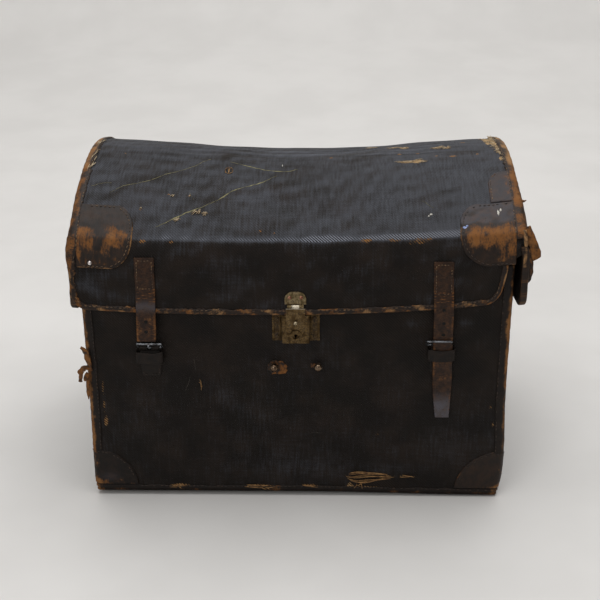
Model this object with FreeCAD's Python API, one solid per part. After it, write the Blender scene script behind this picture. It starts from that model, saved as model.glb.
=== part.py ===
import FreeCAD
import Part
import math
import os

# Dome top trunk: a canvas-covered travelling trunk with a hinged, domed lid.
# X runs along the trunk, -Y is the front and +Z is up. The origin lies on the floor
# under the middle of the base. All lengths are millimetres.

Vector = FreeCAD.Vector
X_AXIS = Vector(1, 0, 0)
Y_AXIS = Vector(0, 1, 0)
Z_AXIS = Vector(0, 0, 1)
SIDES = {"left": -1, "right": 1}
ENDS = {"front": -1, "rear": 1}

# How far a cutting body reaches past what it cuts
overrun = 5.0

# Battens under the floor
batten_end_gap = 20.0
batten_width = 28.0
batten_height = 11.0
batten_edge_gap = 43.0
batten_screw_share = 0.3
screw_head_radius = 4.0
screw_head_height = 2.5
screw_shank_radius = 1.8
screw_sink = 2.0
screw_bite = 6.0
screw_clearance = 0.05

# Base box
base_width = 700.0
base_depth = 466.0
base_canvas_thickness = 1.6
base_core_thickness = 8.0
base_lining_thickness = 1.2
back_wall_drop = 41.5
back_step_clearance = 3.0
rim_tape_thickness = 1.5

# Leather on the base
base_leather_thickness = 2.0
corner_binding_width = 16.0
corner_binding_top_gap = 12.0
bottom_binding_width = 12.0
bottom_patch_radius = 62.0
leather_gap = 0.3

# Lid
trunk_height = 565.0
lid_gap = 4.0
lid_canvas_thickness = 1.5
lid_core_thickness = 5.0
lid_lining_thickness = 1.0
lid_layer_clearance = 0.3
lid_overlap = 83.0
lid_bend_rise = 9.0
lid_sag = 14.0
lid_back_gap = 0.5
dome_radius = 370.0
bend_radius = 30.0
flap_corner_radius = 24.0
slit_height = 70.0

# Leather on the lid
lid_leather_thickness = 2.0
rim_binding_height = 10.0
end_binding_top_width = 12.0
end_binding_side_width = 10.0
cap_width = 80.0
cap_dome_reach = 75.0
cap_upper_corner_radius = 28.0
cap_lower_corner_radius = 26.0
side_patch_width = 32.0
side_patch_length = 62.0
side_patch_corner_radius = 8.0

# Hinges at the back
hinge_spacing_share = 0.315
hinge_leaf_width = 44.0
hinge_leaf_thickness = 2.0
hinge_base_leaf_height = 42.0
hinge_lid_leaf_height = 34.0
hinge_knuckle_radius = 4.5
hinge_middle_knuckle = 15.0
hinge_knuckle_gap = 0.4
hinge_pin_radius = 2.2
hinge_pin_clearance = 0.05
hinge_rivet_spacing = 26.0

# Rivets through a wall
rivet_head_radius = 3.2
rivet_head_height = 1.6
rivet_shank_radius = 1.5
rivet_tail_radius = 2.6
rivet_tail_height = 1.0
rivet_clearance = 0.05

# Lock on the base front
lock_plate_width = 78.0
lock_height = 50.0
lock_plate_thickness = 2.0
lock_top_gap = 3.0
lock_case_width = 46.0
lock_case_wall = 1.5
lock_case_edge_radius = 3.0
lock_rib_radius = 1.2
lock_rib_inset = 2.6
lock_rivet_inset = 8.0
lock_rivet_drop = 9.0
keyhole_height = 14.0
keyhole_radius = 2.4
keyhole_slot_width = 2.0
keyhole_slot_length = 6.0
keyhole_ring_radius = 10.0
keyhole_ring_bore_radius = 5.5
keyhole_ring_thickness = 1.6
bolt_length = 15.0
bolt_thickness = 5.0
bolt_clearance = 0.15
bolt_rib_thickness = 1.5
bolt_spring_length = 12.0
bolt_spring_thickness = 0.5

# Hasp on the lid front
hasp_plate_width = 35.0
hasp_plate_height = 22.0
hasp_plate_corner_radius = 13.0
hasp_thickness = 2.0
hasp_rivet_spacing = 19.0
hasp_rivet_share = 0.55
hasp_knuckle_radius = 3.0
hasp_knuckle_length = 27.0
hasp_middle_knuckle = 12.0
hasp_pin_radius = 1.4
hasp_clearance = 0.4
hasp_flap_width = 31.0
hasp_flap_length = 39.0
hasp_flap_corner_radius = 8.0
staple_width = 6.0
staple_height = 12.0
staple_depth = 9.0
staple_share = 0.70
staple_slot_clearance = 1.0
knob_radius = 3.6
knob_neck_radius = 2.0
knob_neck_length = 2.5
knob_share = 0.68
ball_stand_share = 0.85

# Studs and torn tab below the lock
stud_spacing = 73.0
stud_drop = 46.0
stud_ball_radius = 7.0
stud_neck_radius = 4.0
stud_neck_length = 4.0
stud_shank_radius = 2.5
stud_washer_radius = 8.0
stud_washer_thickness = 1.5
tab_length = 27.0
tab_height = 20.0
tab_thickness = 1.8
tab_corner_radius = 6.0

# Straps, buckles, chapes and keepers
left_strap_share = 0.69
right_strap_share = 0.67
strap_width = 32.0
strap_thickness = 3.2
strap_top_rise = 14.0
strap_crease_drop = 3.0
strap_jog = 12.0
strap_gap = 0.3
left_tail_length = 48.0
right_tail_length = 199.0
right_tail_tip_width = 21.0
right_tail_tip_taper = 44.0
right_tail_settle = 73.0
strap_hole_radius = 2.2
strap_first_hole = 10.5
strap_hole_spacing = 21.0
strap_holes = 2
chape_width = 34.0
chape_thickness = 2.6
chape_length = 57.0
chape_jog = 8.0
chape_slot_width = 6.0
keeper_width = 45.0
keeper_height = 20.0
keeper_thickness = 2.2
keeper_drop = 6.0
left_buckle_drop = 64.0
right_buckle_drop = 58.0
buckle_wire_radius = 1.7
buckle_inner_width = 36.0
buckle_reach = 15.0
buckle_tilt_degrees = 45.0
buckle_clearance = 0.1
prong_radius = 1.3
prong_overhang = 3.0
prong_eye_width = 4.0

# Levels and faces worked out from the sizes above
base_bottom = batten_height
base_front = -base_depth / 2
base_back = base_depth / 2
base_half = base_width / 2
base_wall = base_canvas_thickness + base_core_thickness + base_lining_thickness
lid_wall = (lid_canvas_thickness + lid_core_thickness + lid_lining_thickness
            + 2 * lid_layer_clearance)
lid_half = base_half + lid_gap + lid_wall
lid_front = base_front - lid_gap - lid_wall
lid_back = base_back
lid_middle = (lid_front + lid_back) / 2
lid_half_depth = (lid_back - lid_front) / 2
dome_top_middle = trunk_height - lid_sag
dome_axis_z = dome_top_middle - dome_radius
bend_across = lid_half_depth - bend_radius
bend_rise = math.sqrt((dome_radius - bend_radius) ** 2 - bend_across ** 2)
bend_z = dome_axis_z + bend_rise
base_top = bend_z - lid_bend_rise
back_top = base_top - back_wall_drop
back_step = lid_wall + back_step_clearance
lid_back_bottom = back_top + rim_tape_thickness + lid_back_gap
rim_middle = base_top - lid_overlap
sag_radius = (lid_half ** 2 + lid_sag ** 2) / (2 * lid_sag)
sag_axis = dome_top_middle + sag_radius
slit_top = rim_middle + slit_height


def box(x0, x1, y0, y1, z0, z1):
    """A block between two corners."""
    return Part.makeBox(x1 - x0, y1 - y0, z1 - z0, Vector(x0, y0, z0))


def rod_x(x0, x1, y, z, radius):
    """A round bar along X."""
    return Part.makeCylinder(radius, x1 - x0, Vector(x0, y, z), X_AXIS)


def rod_y(y0, y1, x, z, radius):
    """A round bar along Y."""
    return Part.makeCylinder(radius, y1 - y0, Vector(x, y0, z), Y_AXIS)


def rod_z(z0, z1, x, y, radius):
    """A round bar along Z."""
    return Part.makeCylinder(radius, z1 - z0, Vector(x, y, z0), Z_AXIS)


def strip_x(points, x0, x1):
    """A side outline of (y, z) points drawn out along X."""
    corners = [Vector(x0, y, z) for y, z in points]
    face = Part.Face(Part.makePolygon(corners + corners[:1]))
    return face.extrude(Vector(x1 - x0, 0, 0))


def strip_y(points, y0, y1):
    """A front outline of (x, z) points drawn out along Y."""
    corners = [Vector(x, y0, z) for x, z in points]
    face = Part.Face(Part.makePolygon(corners + corners[:1]))
    return face.extrude(Vector(0, y1 - y0, 0))


def fuse(shapes):
    """One solid from pieces that meet."""
    whole = shapes[0]
    for shape in shapes[1:]:
        whole = whole.fuse(shape)
    return whole.removeSplitter()


def save(name, shape):
    """Write a node's solids to its own file."""
    solids = shape.Solids
    result = solids[0] if len(solids) == 1 else Part.makeCompound(solids)
    result.exportStep("parts/" + name + ".step")


def ordered(a, b):
    """Two bounds, lower one first."""
    return (a, b) if a < b else (b, a)


def edges_along(shape, axis):
    """Straight edges that run along an axis."""
    found = []
    for edge in shape.Edges:
        if isinstance(edge.Curve, Part.Line) and abs(edge.tangentAt(0).dot(axis)) > 1 - 1e-6:
            found.append(edge)
    return found


def rim_level(x, middle=rim_middle):
    """Height of a sagging lid edge at a distance x from the middle."""
    radius = sag_axis - middle
    return sag_axis - math.sqrt(radius ** 2 - x ** 2)


# Rivets and wall holes

def rivet(grip):
    """A domed rivet along +Z with its head on the plane z = 0 and a clenched tail."""
    ball_radius = (rivet_head_radius ** 2 + rivet_head_height ** 2) / (2 * rivet_head_height)
    ball = Part.makeSphere(ball_radius, Vector(0, 0, rivet_head_height - ball_radius))
    reach = ball_radius + overrun
    head = ball.common(box(-reach, reach, -reach, reach, 0, reach))
    shank = rod_z(-grip, 0, 0, 0, rivet_shank_radius)
    tail = rod_z(-grip - rivet_tail_height, -grip, 0, 0, rivet_tail_radius)
    return fuse([head, shank, tail])


def set_in_wall(shape, x, y, z, facing):
    """Turn a piece made along +Z to point along +Y or -Y, and move it to its place."""
    turned = shape.copy()
    turned.rotate(Vector(0, 0, 0), X_AXIS, -90 * facing)
    turned.translate(Vector(x, y, z))
    return turned


def wall_holes(places, y0, y1, radius):
    """Holes through a front or back wall."""
    return [rod_y(y0, y1, x, z, radius) for x, z in places]


def cut_all(shape, cutters):
    """Take every cutter out of a shape."""
    return shape.cut(Part.makeCompound(cutters)) if cutters else shape


# Places of fasteners on the front and back walls
hinge_spacing = base_width * hinge_spacing_share
hinge_places = [-hinge_spacing, 0, hinge_spacing]
hinge_axis_y = base_back + hinge_knuckle_radius + hinge_knuckle_gap
hinge_axis_z = (back_top + rim_tape_thickness + lid_back_bottom) / 2
hinge_leaf_start = hinge_knuckle_radius + hinge_knuckle_gap
base_leaf_rivet_z = hinge_axis_z - hinge_leaf_start - hinge_base_leaf_height / 2
lid_leaf_rivet_z = hinge_axis_z + hinge_leaf_start + hinge_lid_leaf_height / 2
hinge_rivet_x = [x + side * hinge_rivet_spacing / 2 for x in hinge_places for side in (-1, 1)]
base_hinge_rivets = [(x, base_leaf_rivet_z) for x in hinge_rivet_x]
lid_hinge_rivets = [(x, lid_leaf_rivet_z) for x in hinge_rivet_x]

lock_top = rim_middle - lock_top_gap
lock_bottom = lock_top - lock_height
lock_rivet_x = lock_plate_width / 2 - lock_rivet_inset
lock_rivet_z = [lock_bottom + lock_rivet_drop, lock_top - lock_rivet_drop]
lock_rivets = [(side * lock_rivet_x, z) for side in (-1, 1) for z in lock_rivet_z]
stud_height = lock_bottom - stud_drop
studs = [(side * stud_spacing / 2, stud_height) for side in (-1, 1)]

hasp_axis_y = lid_front - hasp_knuckle_radius - hasp_clearance
hasp_axis_z = rim_middle + rim_binding_height + hasp_knuckle_radius + hasp_clearance
hasp_rivet_z = hasp_axis_z + hasp_knuckle_radius + hasp_plate_height * hasp_rivet_share
hasp_rivets = [(side * hasp_rivet_spacing / 2, hasp_rivet_z) for side in (-1, 1)]

rivet_hole_radius = rivet_shank_radius + rivet_clearance
stud_hole_radius = stud_shank_radius + rivet_clearance
front_wall_span = (base_front - overrun, base_front + base_wall + overrun)
back_wall_span = (base_back - base_wall - overrun, base_back + overrun)
base_wall_holes = (wall_holes(lock_rivets, *front_wall_span, rivet_hole_radius)
                   + wall_holes(studs, *front_wall_span, stud_hole_radius)
                   + wall_holes(base_hinge_rivets, *back_wall_span, rivet_hole_radius))
lid_wall_holes = (wall_holes(hasp_rivets, lid_front - overrun, lid_front + lid_wall + overrun,
                             rivet_hole_radius)
                  + wall_holes(lid_hinge_rivets, lid_back - lid_wall - overrun, lid_back + overrun,
                               rivet_hole_radius))


# Battens and their screws

batten_length = base_width - 2 * batten_end_gap
batten_places = {"front": base_front + batten_edge_gap, "middle": 0, "rear": base_back - batten_edge_gap}
batten_screw_spacing = batten_length * batten_screw_share
screw_places = [(x, y) for y in batten_places.values()
                for x in [batten_screw_spacing * step for step in (-1.5, -0.5, 0.5, 1.5)]]
screw_top = batten_height + base_canvas_thickness + screw_bite


def screw(x, y, play):
    """A countersunk screw driven up through a batten into the floor."""
    head = rod_z(screw_sink - play, screw_sink + screw_head_height + play, x, y,
                 screw_head_radius + play)
    shank = rod_z(screw_sink, screw_top + play, x, y, screw_shank_radius + play)
    return fuse([head, shank])


screw_bores = [screw(x, y, screw_clearance) for x, y in screw_places]
screw_bores += [rod_z(-overrun, screw_sink, x, y, screw_head_radius + screw_clearance)
                for x, y in screw_places]


def make_battens():
    """Three wooden runners under the floor and the screws that hold them."""
    for name, y in batten_places.items():
        batten = box(-batten_length / 2, batten_length / 2, y - batten_width / 2,
                     y + batten_width / 2, 0, batten_height)
        save("batten_" + name, cut_all(batten, screw_bores))
    save("batten_screws", Part.makeCompound([screw(x, y, 0) for x, y in screw_places]))


# Base box: canvas outside, stiff core, cloth lining

def base_block(inset, floor, top):
    """A block of the base's plan, drawn in by an inset."""
    return box(-base_half + inset, base_half - inset, base_front + inset, base_back - inset,
               floor, top)


back_cut = box(-base_half - overrun, base_half + overrun, base_back - back_step,
               base_back + overrun, back_top, base_top + rim_tape_thickness + overrun)


def base_layer(outer, inner):
    """One open-topped layer of the base between two insets, lower at the back."""
    shell = base_block(outer, base_bottom + outer, base_top)
    shell = shell.cut(base_block(inner, base_bottom + inner, base_top + overrun))
    return cut_all(shell, [back_cut] + base_wall_holes + screw_bores)


def make_base_box():
    """The three layers of the base and the tape over the top of its walls."""
    core_inset = base_canvas_thickness
    lining_inset = core_inset + base_core_thickness
    save("base_canvas", base_layer(0, core_inset))
    save("base_core", base_layer(core_inset, lining_inset))
    save("base_lining", base_layer(lining_inset, base_wall))
    tape_top = base_top + rim_tape_thickness
    ring = base_block(0, base_top, tape_top)
    ring = ring.cut(base_block(base_wall, base_top - overrun, tape_top + overrun))
    back_strip = box(-base_half, base_half, base_back - base_wall, base_back,
                     back_top, back_top + rim_tape_thickness)
    save("rim_tape", Part.makeCompound([ring.cut(back_cut), back_strip]))


# Leather on the base

def base_shell(z0, z1):
    """A leather-thick ring just outside the base's walls."""
    return base_block(-base_leather_thickness, z0, z1).cut(base_block(0, z0 - overrun, z1 + overrun))


patch_bottom = base_bottom + bottom_binding_width + leather_gap
binding_bottom = patch_bottom + bottom_patch_radius + leather_gap


def make_base_leather():
    """Corner bindings, bottom binding and bottom corner patches."""
    under = base_bottom - base_leather_thickness
    ring = base_block(-base_leather_thickness, under, base_bottom + bottom_binding_width)
    ring = ring.cut(base_block(0, base_bottom, base_top))
    save("bottom_binding", ring.cut(base_block(bottom_binding_width, under - overrun, base_top)))
    for end, front in ENDS.items():
        for side, right in SIDES.items():
            corner_x = right * base_half
            corner_y = front * base_depth / 2
            reach_x = right * (base_half + base_leather_thickness)
            reach_y = front * (base_depth / 2 + base_leather_thickness)
            x0, x1 = ordered(corner_x - right * corner_binding_width, reach_x)
            y0, y1 = ordered(corner_y - front * corner_binding_width, reach_y)
            top = (base_top if end == "front" else back_top) - corner_binding_top_gap
            post = base_shell(binding_bottom, top).common(box(x0, x1, y0, y1, 0, base_top))
            save("corner_binding_" + end + "_" + side, post)
            patch = base_shell(patch_bottom, patch_bottom + bottom_patch_radius)
            y0, y1 = ordered(corner_y, reach_y)
            x0, x1 = ordered(corner_x, reach_x)
            front_round = rod_y(y0, y1, corner_x, patch_bottom, bottom_patch_radius)
            end_round = rod_x(x0, x1, corner_y, patch_bottom, bottom_patch_radius)
            post_column = box(x0, x1, y0, y1, patch_bottom, patch_bottom + bottom_patch_radius)
            save("bottom_patch_" + end + "_" + side,
                 patch.common(fuse([front_round, end_round, post_column])))


# Lid: a domed box whose middle has sagged

def sag_sweep(face, half_width):
    """Draw a side face along the lid's length, on the arc that the sag follows."""
    top_radius = sag_axis - face.BoundBox.ZMax
    half_angle = math.degrees(math.asin((half_width + overrun) / top_radius))
    start = face.copy()
    start.rotate(Vector(0, 0, sag_axis), Y_AXIS, -half_angle)
    swept = start.revolve(Vector(0, 0, sag_axis), Y_AXIS, 2 * half_angle)
    reach = trunk_height + overrun
    return swept.common(box(-half_width, half_width, -base_depth, base_depth, 0, reach))


def lid_face(inset, bottom):
    """Side outline of the lid at its middle: upright walls, bends and dome, drawn in by an inset."""
    front = lid_front + inset
    back = lid_back - inset
    radius = dome_radius - inset
    bend = bend_radius - inset
    lean = math.atan2(bend_rise, bend_across)

    def on_dome(side):
        return Vector(0, lid_middle + side * radius * math.cos(lean),
                      dome_axis_z + radius * math.sin(lean))

    def on_bend(side):
        half_lean = lean / 2
        return Vector(0, lid_middle + side * (bend_across + bend * math.cos(half_lean)),
                      bend_z + bend * math.sin(half_lean))

    front_foot = Vector(0, front, bottom)
    front_bend = Vector(0, front, bend_z)
    back_bend = Vector(0, back, bend_z)
    back_foot = Vector(0, back, bottom)
    top = Vector(0, lid_middle, dome_axis_z + radius)
    edges = [
        Part.makeLine(front_foot, front_bend),
        Part.Arc(front_bend, on_bend(-1), on_dome(-1)).toShape(),
        Part.Arc(on_dome(-1), top, on_dome(1)).toShape(),
        Part.Arc(on_dome(1), on_bend(1), back_bend).toShape(),
        Part.makeLine(back_bend, back_foot),
        Part.makeLine(back_foot, front_foot),
    ]
    return Part.Face(Part.Wire(edges))


def lid_form(inset, bottom):
    """The lid as a full block, drawn in all round by an inset."""
    return sag_sweep(lid_face(inset, bottom), lid_half - inset)


flap_round_x = lid_half - flap_corner_radius
flap_round_y = lid_front + flap_corner_radius
front_round_z = rim_level(flap_round_x) + flap_corner_radius
end_rim = rim_level(lid_half)
end_round_z = end_rim + flap_corner_radius


def lid_cutters():
    """The open back below the hinges and the rounded lower corners of the flaps."""
    inner_half = lid_half - lid_wall
    cutters = [box(-inner_half, inner_half, lid_back - lid_wall - overrun, lid_back + overrun,
                   rim_middle - overrun, lid_back_bottom)]
    for right in SIDES.values():
        x0, x1 = ordered(right * flap_round_x, right * (lid_half + overrun))
        y0, y1 = lid_front - overrun, lid_front + lid_wall
        corner = box(x0, x1, y0, y1, rim_middle - overrun, front_round_z)
        cutters.append(corner.cut(rod_y(y0 - overrun, y1 + overrun, right * flap_round_x,
                                        front_round_z, flap_corner_radius)))
        x0, x1 = ordered(right * (lid_half - lid_wall), right * (lid_half + overrun))
        corner = box(x0, x1, lid_front - overrun, flap_round_y, rim_middle - overrun, end_round_z)
        cutters.append(corner.cut(rod_x(x0 - overrun, x1 + overrun, flap_round_y, end_round_z,
                                        flap_corner_radius)))
    return cutters


def lid_layer(outer, inner):
    """One layer of the lid between two insets."""
    shell = lid_form(outer, rim_middle).cut(lid_form(inner, rim_middle - overrun))
    return cut_all(shell, lid_cutters() + lid_wall_holes)


def make_lid_box():
    """The lid's canvas, stiff core and lining."""
    core_inset = lid_canvas_thickness + lid_layer_clearance
    lining_inset = core_inset + lid_core_thickness + lid_layer_clearance
    save("lid_canvas", lid_layer(0, lid_canvas_thickness))
    save("lid_core", lid_layer(core_inset, core_inset + lid_core_thickness))
    save("lid_lining", lid_layer(lining_inset, lid_wall))


# Leather on the lid

def make_rim_bindings():
    """Leather sewn round the edges of the front flap and the end flaps."""
    front_y = (lid_front - lid_leather_thickness, lid_front)
    rim_face = Part.Face(Part.makePolygon([
        Vector(0, front_y[0], rim_middle),
        Vector(0, front_y[1], rim_middle),
        Vector(0, front_y[1], rim_middle + rim_binding_height),
        Vector(0, front_y[0], rim_middle + rim_binding_height),
        Vector(0, front_y[0], rim_middle)]))
    pieces = [sag_sweep(rim_face, flap_round_x)]
    inner_radius = flap_corner_radius - rim_binding_height
    for right in SIDES.values():
        ring = rod_y(*front_y, right * flap_round_x, front_round_z, flap_corner_radius)
        ring = ring.cut(rod_y(*front_y, right * flap_round_x, front_round_z, inner_radius))
        x0, x1 = ordered(right * flap_round_x, right * lid_half)
        pieces.append(ring.common(box(x0, x1, *front_y, rim_middle - overrun, front_round_z)))
        x0, x1 = ordered(right * (lid_half - rim_binding_height), right * lid_half)
        pieces.append(box(x0, x1, *front_y, front_round_z, slit_top))
    save("rim_binding_front", fuse(pieces))
    for side, right in SIDES.items():
        x0, x1 = ordered(right * lid_half, right * (lid_half + lid_leather_thickness))
        strip = box(x0, x1, flap_round_y, lid_back, end_rim, end_rim + rim_binding_height)
        ring = rod_x(x0, x1, flap_round_y, end_round_z, flap_corner_radius)
        ring = ring.cut(rod_x(x0, x1, flap_round_y, end_round_z, inner_radius))
        ring = ring.common(box(x0, x1, lid_front, flap_round_y, end_rim - overrun, end_round_z))
        edge = box(x0, x1, lid_front, lid_front + rim_binding_height, end_round_z, slit_top)
        save("rim_binding_" + side, fuse([strip, ring, edge]))


def leather_over_lid():
    """A leather-thick layer just outside the lid's canvas."""
    outside = lid_form(-lid_leather_thickness - leather_gap, rim_middle)
    return outside.cut(lid_form(-leather_gap, rim_middle - overrun))


def make_end_bindings(leather):
    """Leather folded over both ends of the dome, from the front slits to the hinge line."""
    end_lift = rim_level(lid_half) - rim_middle
    window = lid_face(end_binding_side_width, rim_middle - overrun)
    window = window.translated(Vector(-lid_half - overrun, 0, end_lift))
    window = window.extrude(Vector(2 * (lid_half + overrun), 0, 0))
    floor = slit_top + leather_gap
    for side, right in SIDES.items():
        x0, x1 = ordered(right * (lid_half - end_binding_top_width),
                         right * (lid_half + lid_leather_thickness))
        band = leather.common(box(x0, x1, -base_depth, base_depth, floor, trunk_height + overrun))
        save("end_binding_" + side, band.cut(window))


def make_caps(leather):
    """Leather caps over the four bends beside the end bindings, and one patch on the right."""
    outer = lid_half - end_binding_top_width - leather_gap
    inner = outer - cap_width
    bottom = slit_top + leather_gap
    for end, front in ENDS.items():
        face_y = lid_front if front < 0 else lid_back
        for side, right in SIDES.items():
            x0, x1 = ordered(right * inner, right * outer)
            y0, y1 = ordered(face_y + front * overrun, face_y - front * cap_dome_reach)
            upper = box(x0, x1, y0, y1, bottom, trunk_height)
            corner_y = face_y - front * cap_dome_reach
            picked = [edge for edge in edges_along(upper, Z_AXIS)
                      if abs(edge.CenterOfMass.x - right * inner) < overrun
                      and abs(edge.CenterOfMass.y - corner_y) < overrun]
            upper = upper.makeFillet(cap_upper_corner_radius, picked)
            lower = box(x0, x1, y0, y1, bottom, trunk_height)
            picked = [edge for edge in edges_along(lower, Y_AXIS)
                      if abs(edge.CenterOfMass.x - right * inner) < overrun
                      and edge.CenterOfMass.z < bottom + overrun]
            lower = lower.makeFillet(cap_lower_corner_radius, picked)
            save("corner_cap_" + end + "_" + side, leather.common(upper).common(lower))
    start = lid_front + cap_dome_reach + leather_gap
    patch = box(outer - side_patch_width, outer, start, start + side_patch_length, 0, trunk_height)
    picked = [edge for edge in edges_along(patch, Z_AXIS)
              if abs(edge.CenterOfMass.x - outer + side_patch_width) < overrun]
    patch = patch.makeFillet(side_patch_corner_radius, picked)
    save("side_patch_right", leather.common(patch).common(
        box(0, lid_half, start, lid_back, slit_top, trunk_height)))


# Hinges at the back

def hinge_leaf(x, upward):
    """A hinge leaf with its knuckles: two outer ones below, one middle one above."""
    direction = 1 if upward else -1
    height = hinge_lid_leaf_height if upward else hinge_base_leaf_height
    half = hinge_leaf_width / 2
    middle = hinge_middle_knuckle / 2
    outer = middle + hinge_knuckle_gap
    spans = [(-middle, middle)] if upward else [(-half, -outer), (outer, half)]
    z_near = hinge_axis_z + direction * hinge_leaf_start
    z_far = z_near + direction * height
    y1 = base_back + hinge_leaf_thickness
    pieces = [box(x - half, x + half, base_back, y1, *ordered(z_near, z_far))]
    for start, end in spans:
        pieces.append(rod_x(x + start, x + end, hinge_axis_y, hinge_axis_z, hinge_knuckle_radius))
        pieces.append(box(x + start, x + end, base_back + hinge_knuckle_gap, y1,
                          *ordered(hinge_axis_z, z_near)))
    bore = rod_x(x - half - overrun, x + half + overrun, hinge_axis_y, hinge_axis_z,
                 hinge_pin_radius + hinge_pin_clearance)
    return fuse(pieces).cut(bore)


def make_hinges():
    """Three butt hinges with their pins and rivets."""
    rivet_y = base_back + hinge_leaf_thickness
    base_rivets = wall_holes(base_hinge_rivets, base_back - overrun, rivet_y + overrun,
                             rivet_hole_radius)
    lid_rivets = wall_holes(lid_hinge_rivets, base_back - overrun, rivet_y + overrun,
                            rivet_hole_radius)
    base_leaves = [cut_all(hinge_leaf(x, False), base_rivets) for x in hinge_places]
    lid_leaves = [cut_all(hinge_leaf(x, True), lid_rivets) for x in hinge_places]
    save("hinge_leaves_base", Part.makeCompound(base_leaves))
    save("hinge_leaves_lid", Part.makeCompound(lid_leaves))
    half = hinge_leaf_width / 2
    save("hinge_pins", Part.makeCompound([
        rod_x(x - half, x + half, hinge_axis_y, hinge_axis_z, hinge_pin_radius)
        for x in hinge_places]))
    base_rivet = rivet(base_wall + hinge_leaf_thickness)
    lid_rivet = rivet(lid_wall + hinge_leaf_thickness)
    save("hinge_rivets_base", Part.makeCompound([
        set_in_wall(base_rivet, x, rivet_y, z, 1) for x, z in base_hinge_rivets]))
    save("hinge_rivets_lid", Part.makeCompound([
        set_in_wall(lid_rivet, x, rivet_y, z, 1) for x, z in lid_hinge_rivets]))


# Lock on the base front

case_front = lid_front - lid_leather_thickness
case_half = lock_case_width / 2
keyhole_z = lock_bottom + keyhole_height
flap_back = case_front - hasp_clearance
flap_front = flap_back - hasp_thickness
flap_bottom = hasp_axis_z - hasp_flap_length
staple_z = hasp_axis_z - hasp_flap_length * staple_share
staple_bottom = staple_z - staple_height / 2
staple_end = flap_back + staple_depth
bolt_y = flap_back + staple_depth / 2
bolt_half = bolt_thickness / 2
bolt_x = staple_width / 2 + staple_slot_clearance + bolt_clearance


def staple_slot():
    """The opening in the lock case that the staple swings and lifts through."""
    reach_y = staple_end - hasp_axis_y
    reach_z = hasp_axis_z - staple_bottom
    dip = math.hypot(reach_y, reach_z) - reach_z
    half = staple_width / 2 + staple_slot_clearance
    return box(-half, half, case_front - overrun, staple_end + staple_slot_clearance,
               staple_bottom - dip - staple_slot_clearance, lock_top + overrun)


def make_lock():
    """The pressed lock plate with its raised case, and the bolt inside."""
    half = lock_plate_width / 2
    plate = box(-half, half, base_front - lock_plate_thickness, base_front, lock_bottom, lock_top)
    case = box(-case_half, case_half, case_front, base_front, lock_bottom, lock_top)
    front_edges = [edge for edge in edges_along(case, Z_AXIS)
                   if edge.CenterOfMass.y < case_front + lock_case_wall]
    case = case.makeFillet(lock_case_edge_radius, front_edges)
    ribs = []
    for side in (-1, 1):
        for x in (case_half + lock_rib_inset, half - lock_rib_inset):
            ribs.append(rod_z(lock_bottom, lock_top, side * x, base_front - lock_plate_thickness,
                              lock_rib_radius))
    body = fuse([plate, case] + ribs)
    room = box(-case_half + lock_case_wall, case_half - lock_case_wall, case_front + lock_case_wall,
               base_front + overrun, lock_bottom + lock_case_wall, lock_top - lock_case_wall)
    body = body.cut(room)
    guide_x = (bolt_x, case_half)
    guide_y = (case_front, bolt_y + bolt_half)
    guides = []
    for side in (-1, 1):
        z0, z1 = ordered(staple_z + side * (bolt_half + bolt_clearance),
                         staple_z + side * (bolt_half + bolt_clearance + bolt_rib_thickness))
        guides.append(box(guide_x[0], guide_x[1], guide_y[0], guide_y[1], z0, z1))
    inside = box(-case_half + lock_case_wall / 2, case_half - lock_case_wall / 2,
                 case_front + lock_case_wall / 2, base_front, lock_bottom, lock_top)
    body = fuse([body] + [guide.common(inside) for guide in guides])
    keyhole = [rod_y(case_front - overrun, case_front + lock_case_wall + overrun / 2, 0, keyhole_z,
                     keyhole_radius),
               box(-keyhole_slot_width / 2, keyhole_slot_width / 2, case_front - overrun,
                   case_front + lock_case_wall + overrun / 2, keyhole_z - keyhole_slot_length,
                   keyhole_z)]
    holes = wall_holes(lock_rivets, base_front - lock_plate_thickness - overrun, base_front + overrun,
                       rivet_hole_radius)
    save("lock_plate", cut_all(body, keyhole + holes + [staple_slot()]))
    ring = rod_y(case_front - keyhole_ring_thickness, case_front, 0, keyhole_z, keyhole_ring_radius)
    ring = ring.cut(rod_y(case_front - keyhole_ring_thickness - overrun, case_front + overrun, 0,
                          keyhole_z, keyhole_ring_bore_radius))
    save("keyhole_ring", ring)
    save("lock_bolt", box(bolt_x, bolt_x + bolt_length, bolt_y - bolt_half + bolt_clearance,
                          bolt_y + bolt_half - bolt_clearance, staple_z - bolt_half,
                          staple_z + bolt_half))
    spring_end = case_half - lock_case_wall
    spring_y = bolt_y + bolt_half
    save("bolt_spring", box(spring_end - bolt_spring_length, spring_end, spring_y,
                            spring_y + bolt_spring_thickness, staple_z - bolt_half,
                            staple_z + bolt_half))
    lock_rivet = rivet(base_wall + lock_plate_thickness)
    save("lock_rivets", Part.makeCompound([
        set_in_wall(lock_rivet, x, base_front - lock_plate_thickness, z, -1) for x, z in lock_rivets]))


# Hasp on the lid front

def hasp_knuckle(start, end):
    """One knuckle of the hasp's hinge."""
    return rod_x(start, end, hasp_axis_y, hasp_axis_z, hasp_knuckle_radius)


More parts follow.
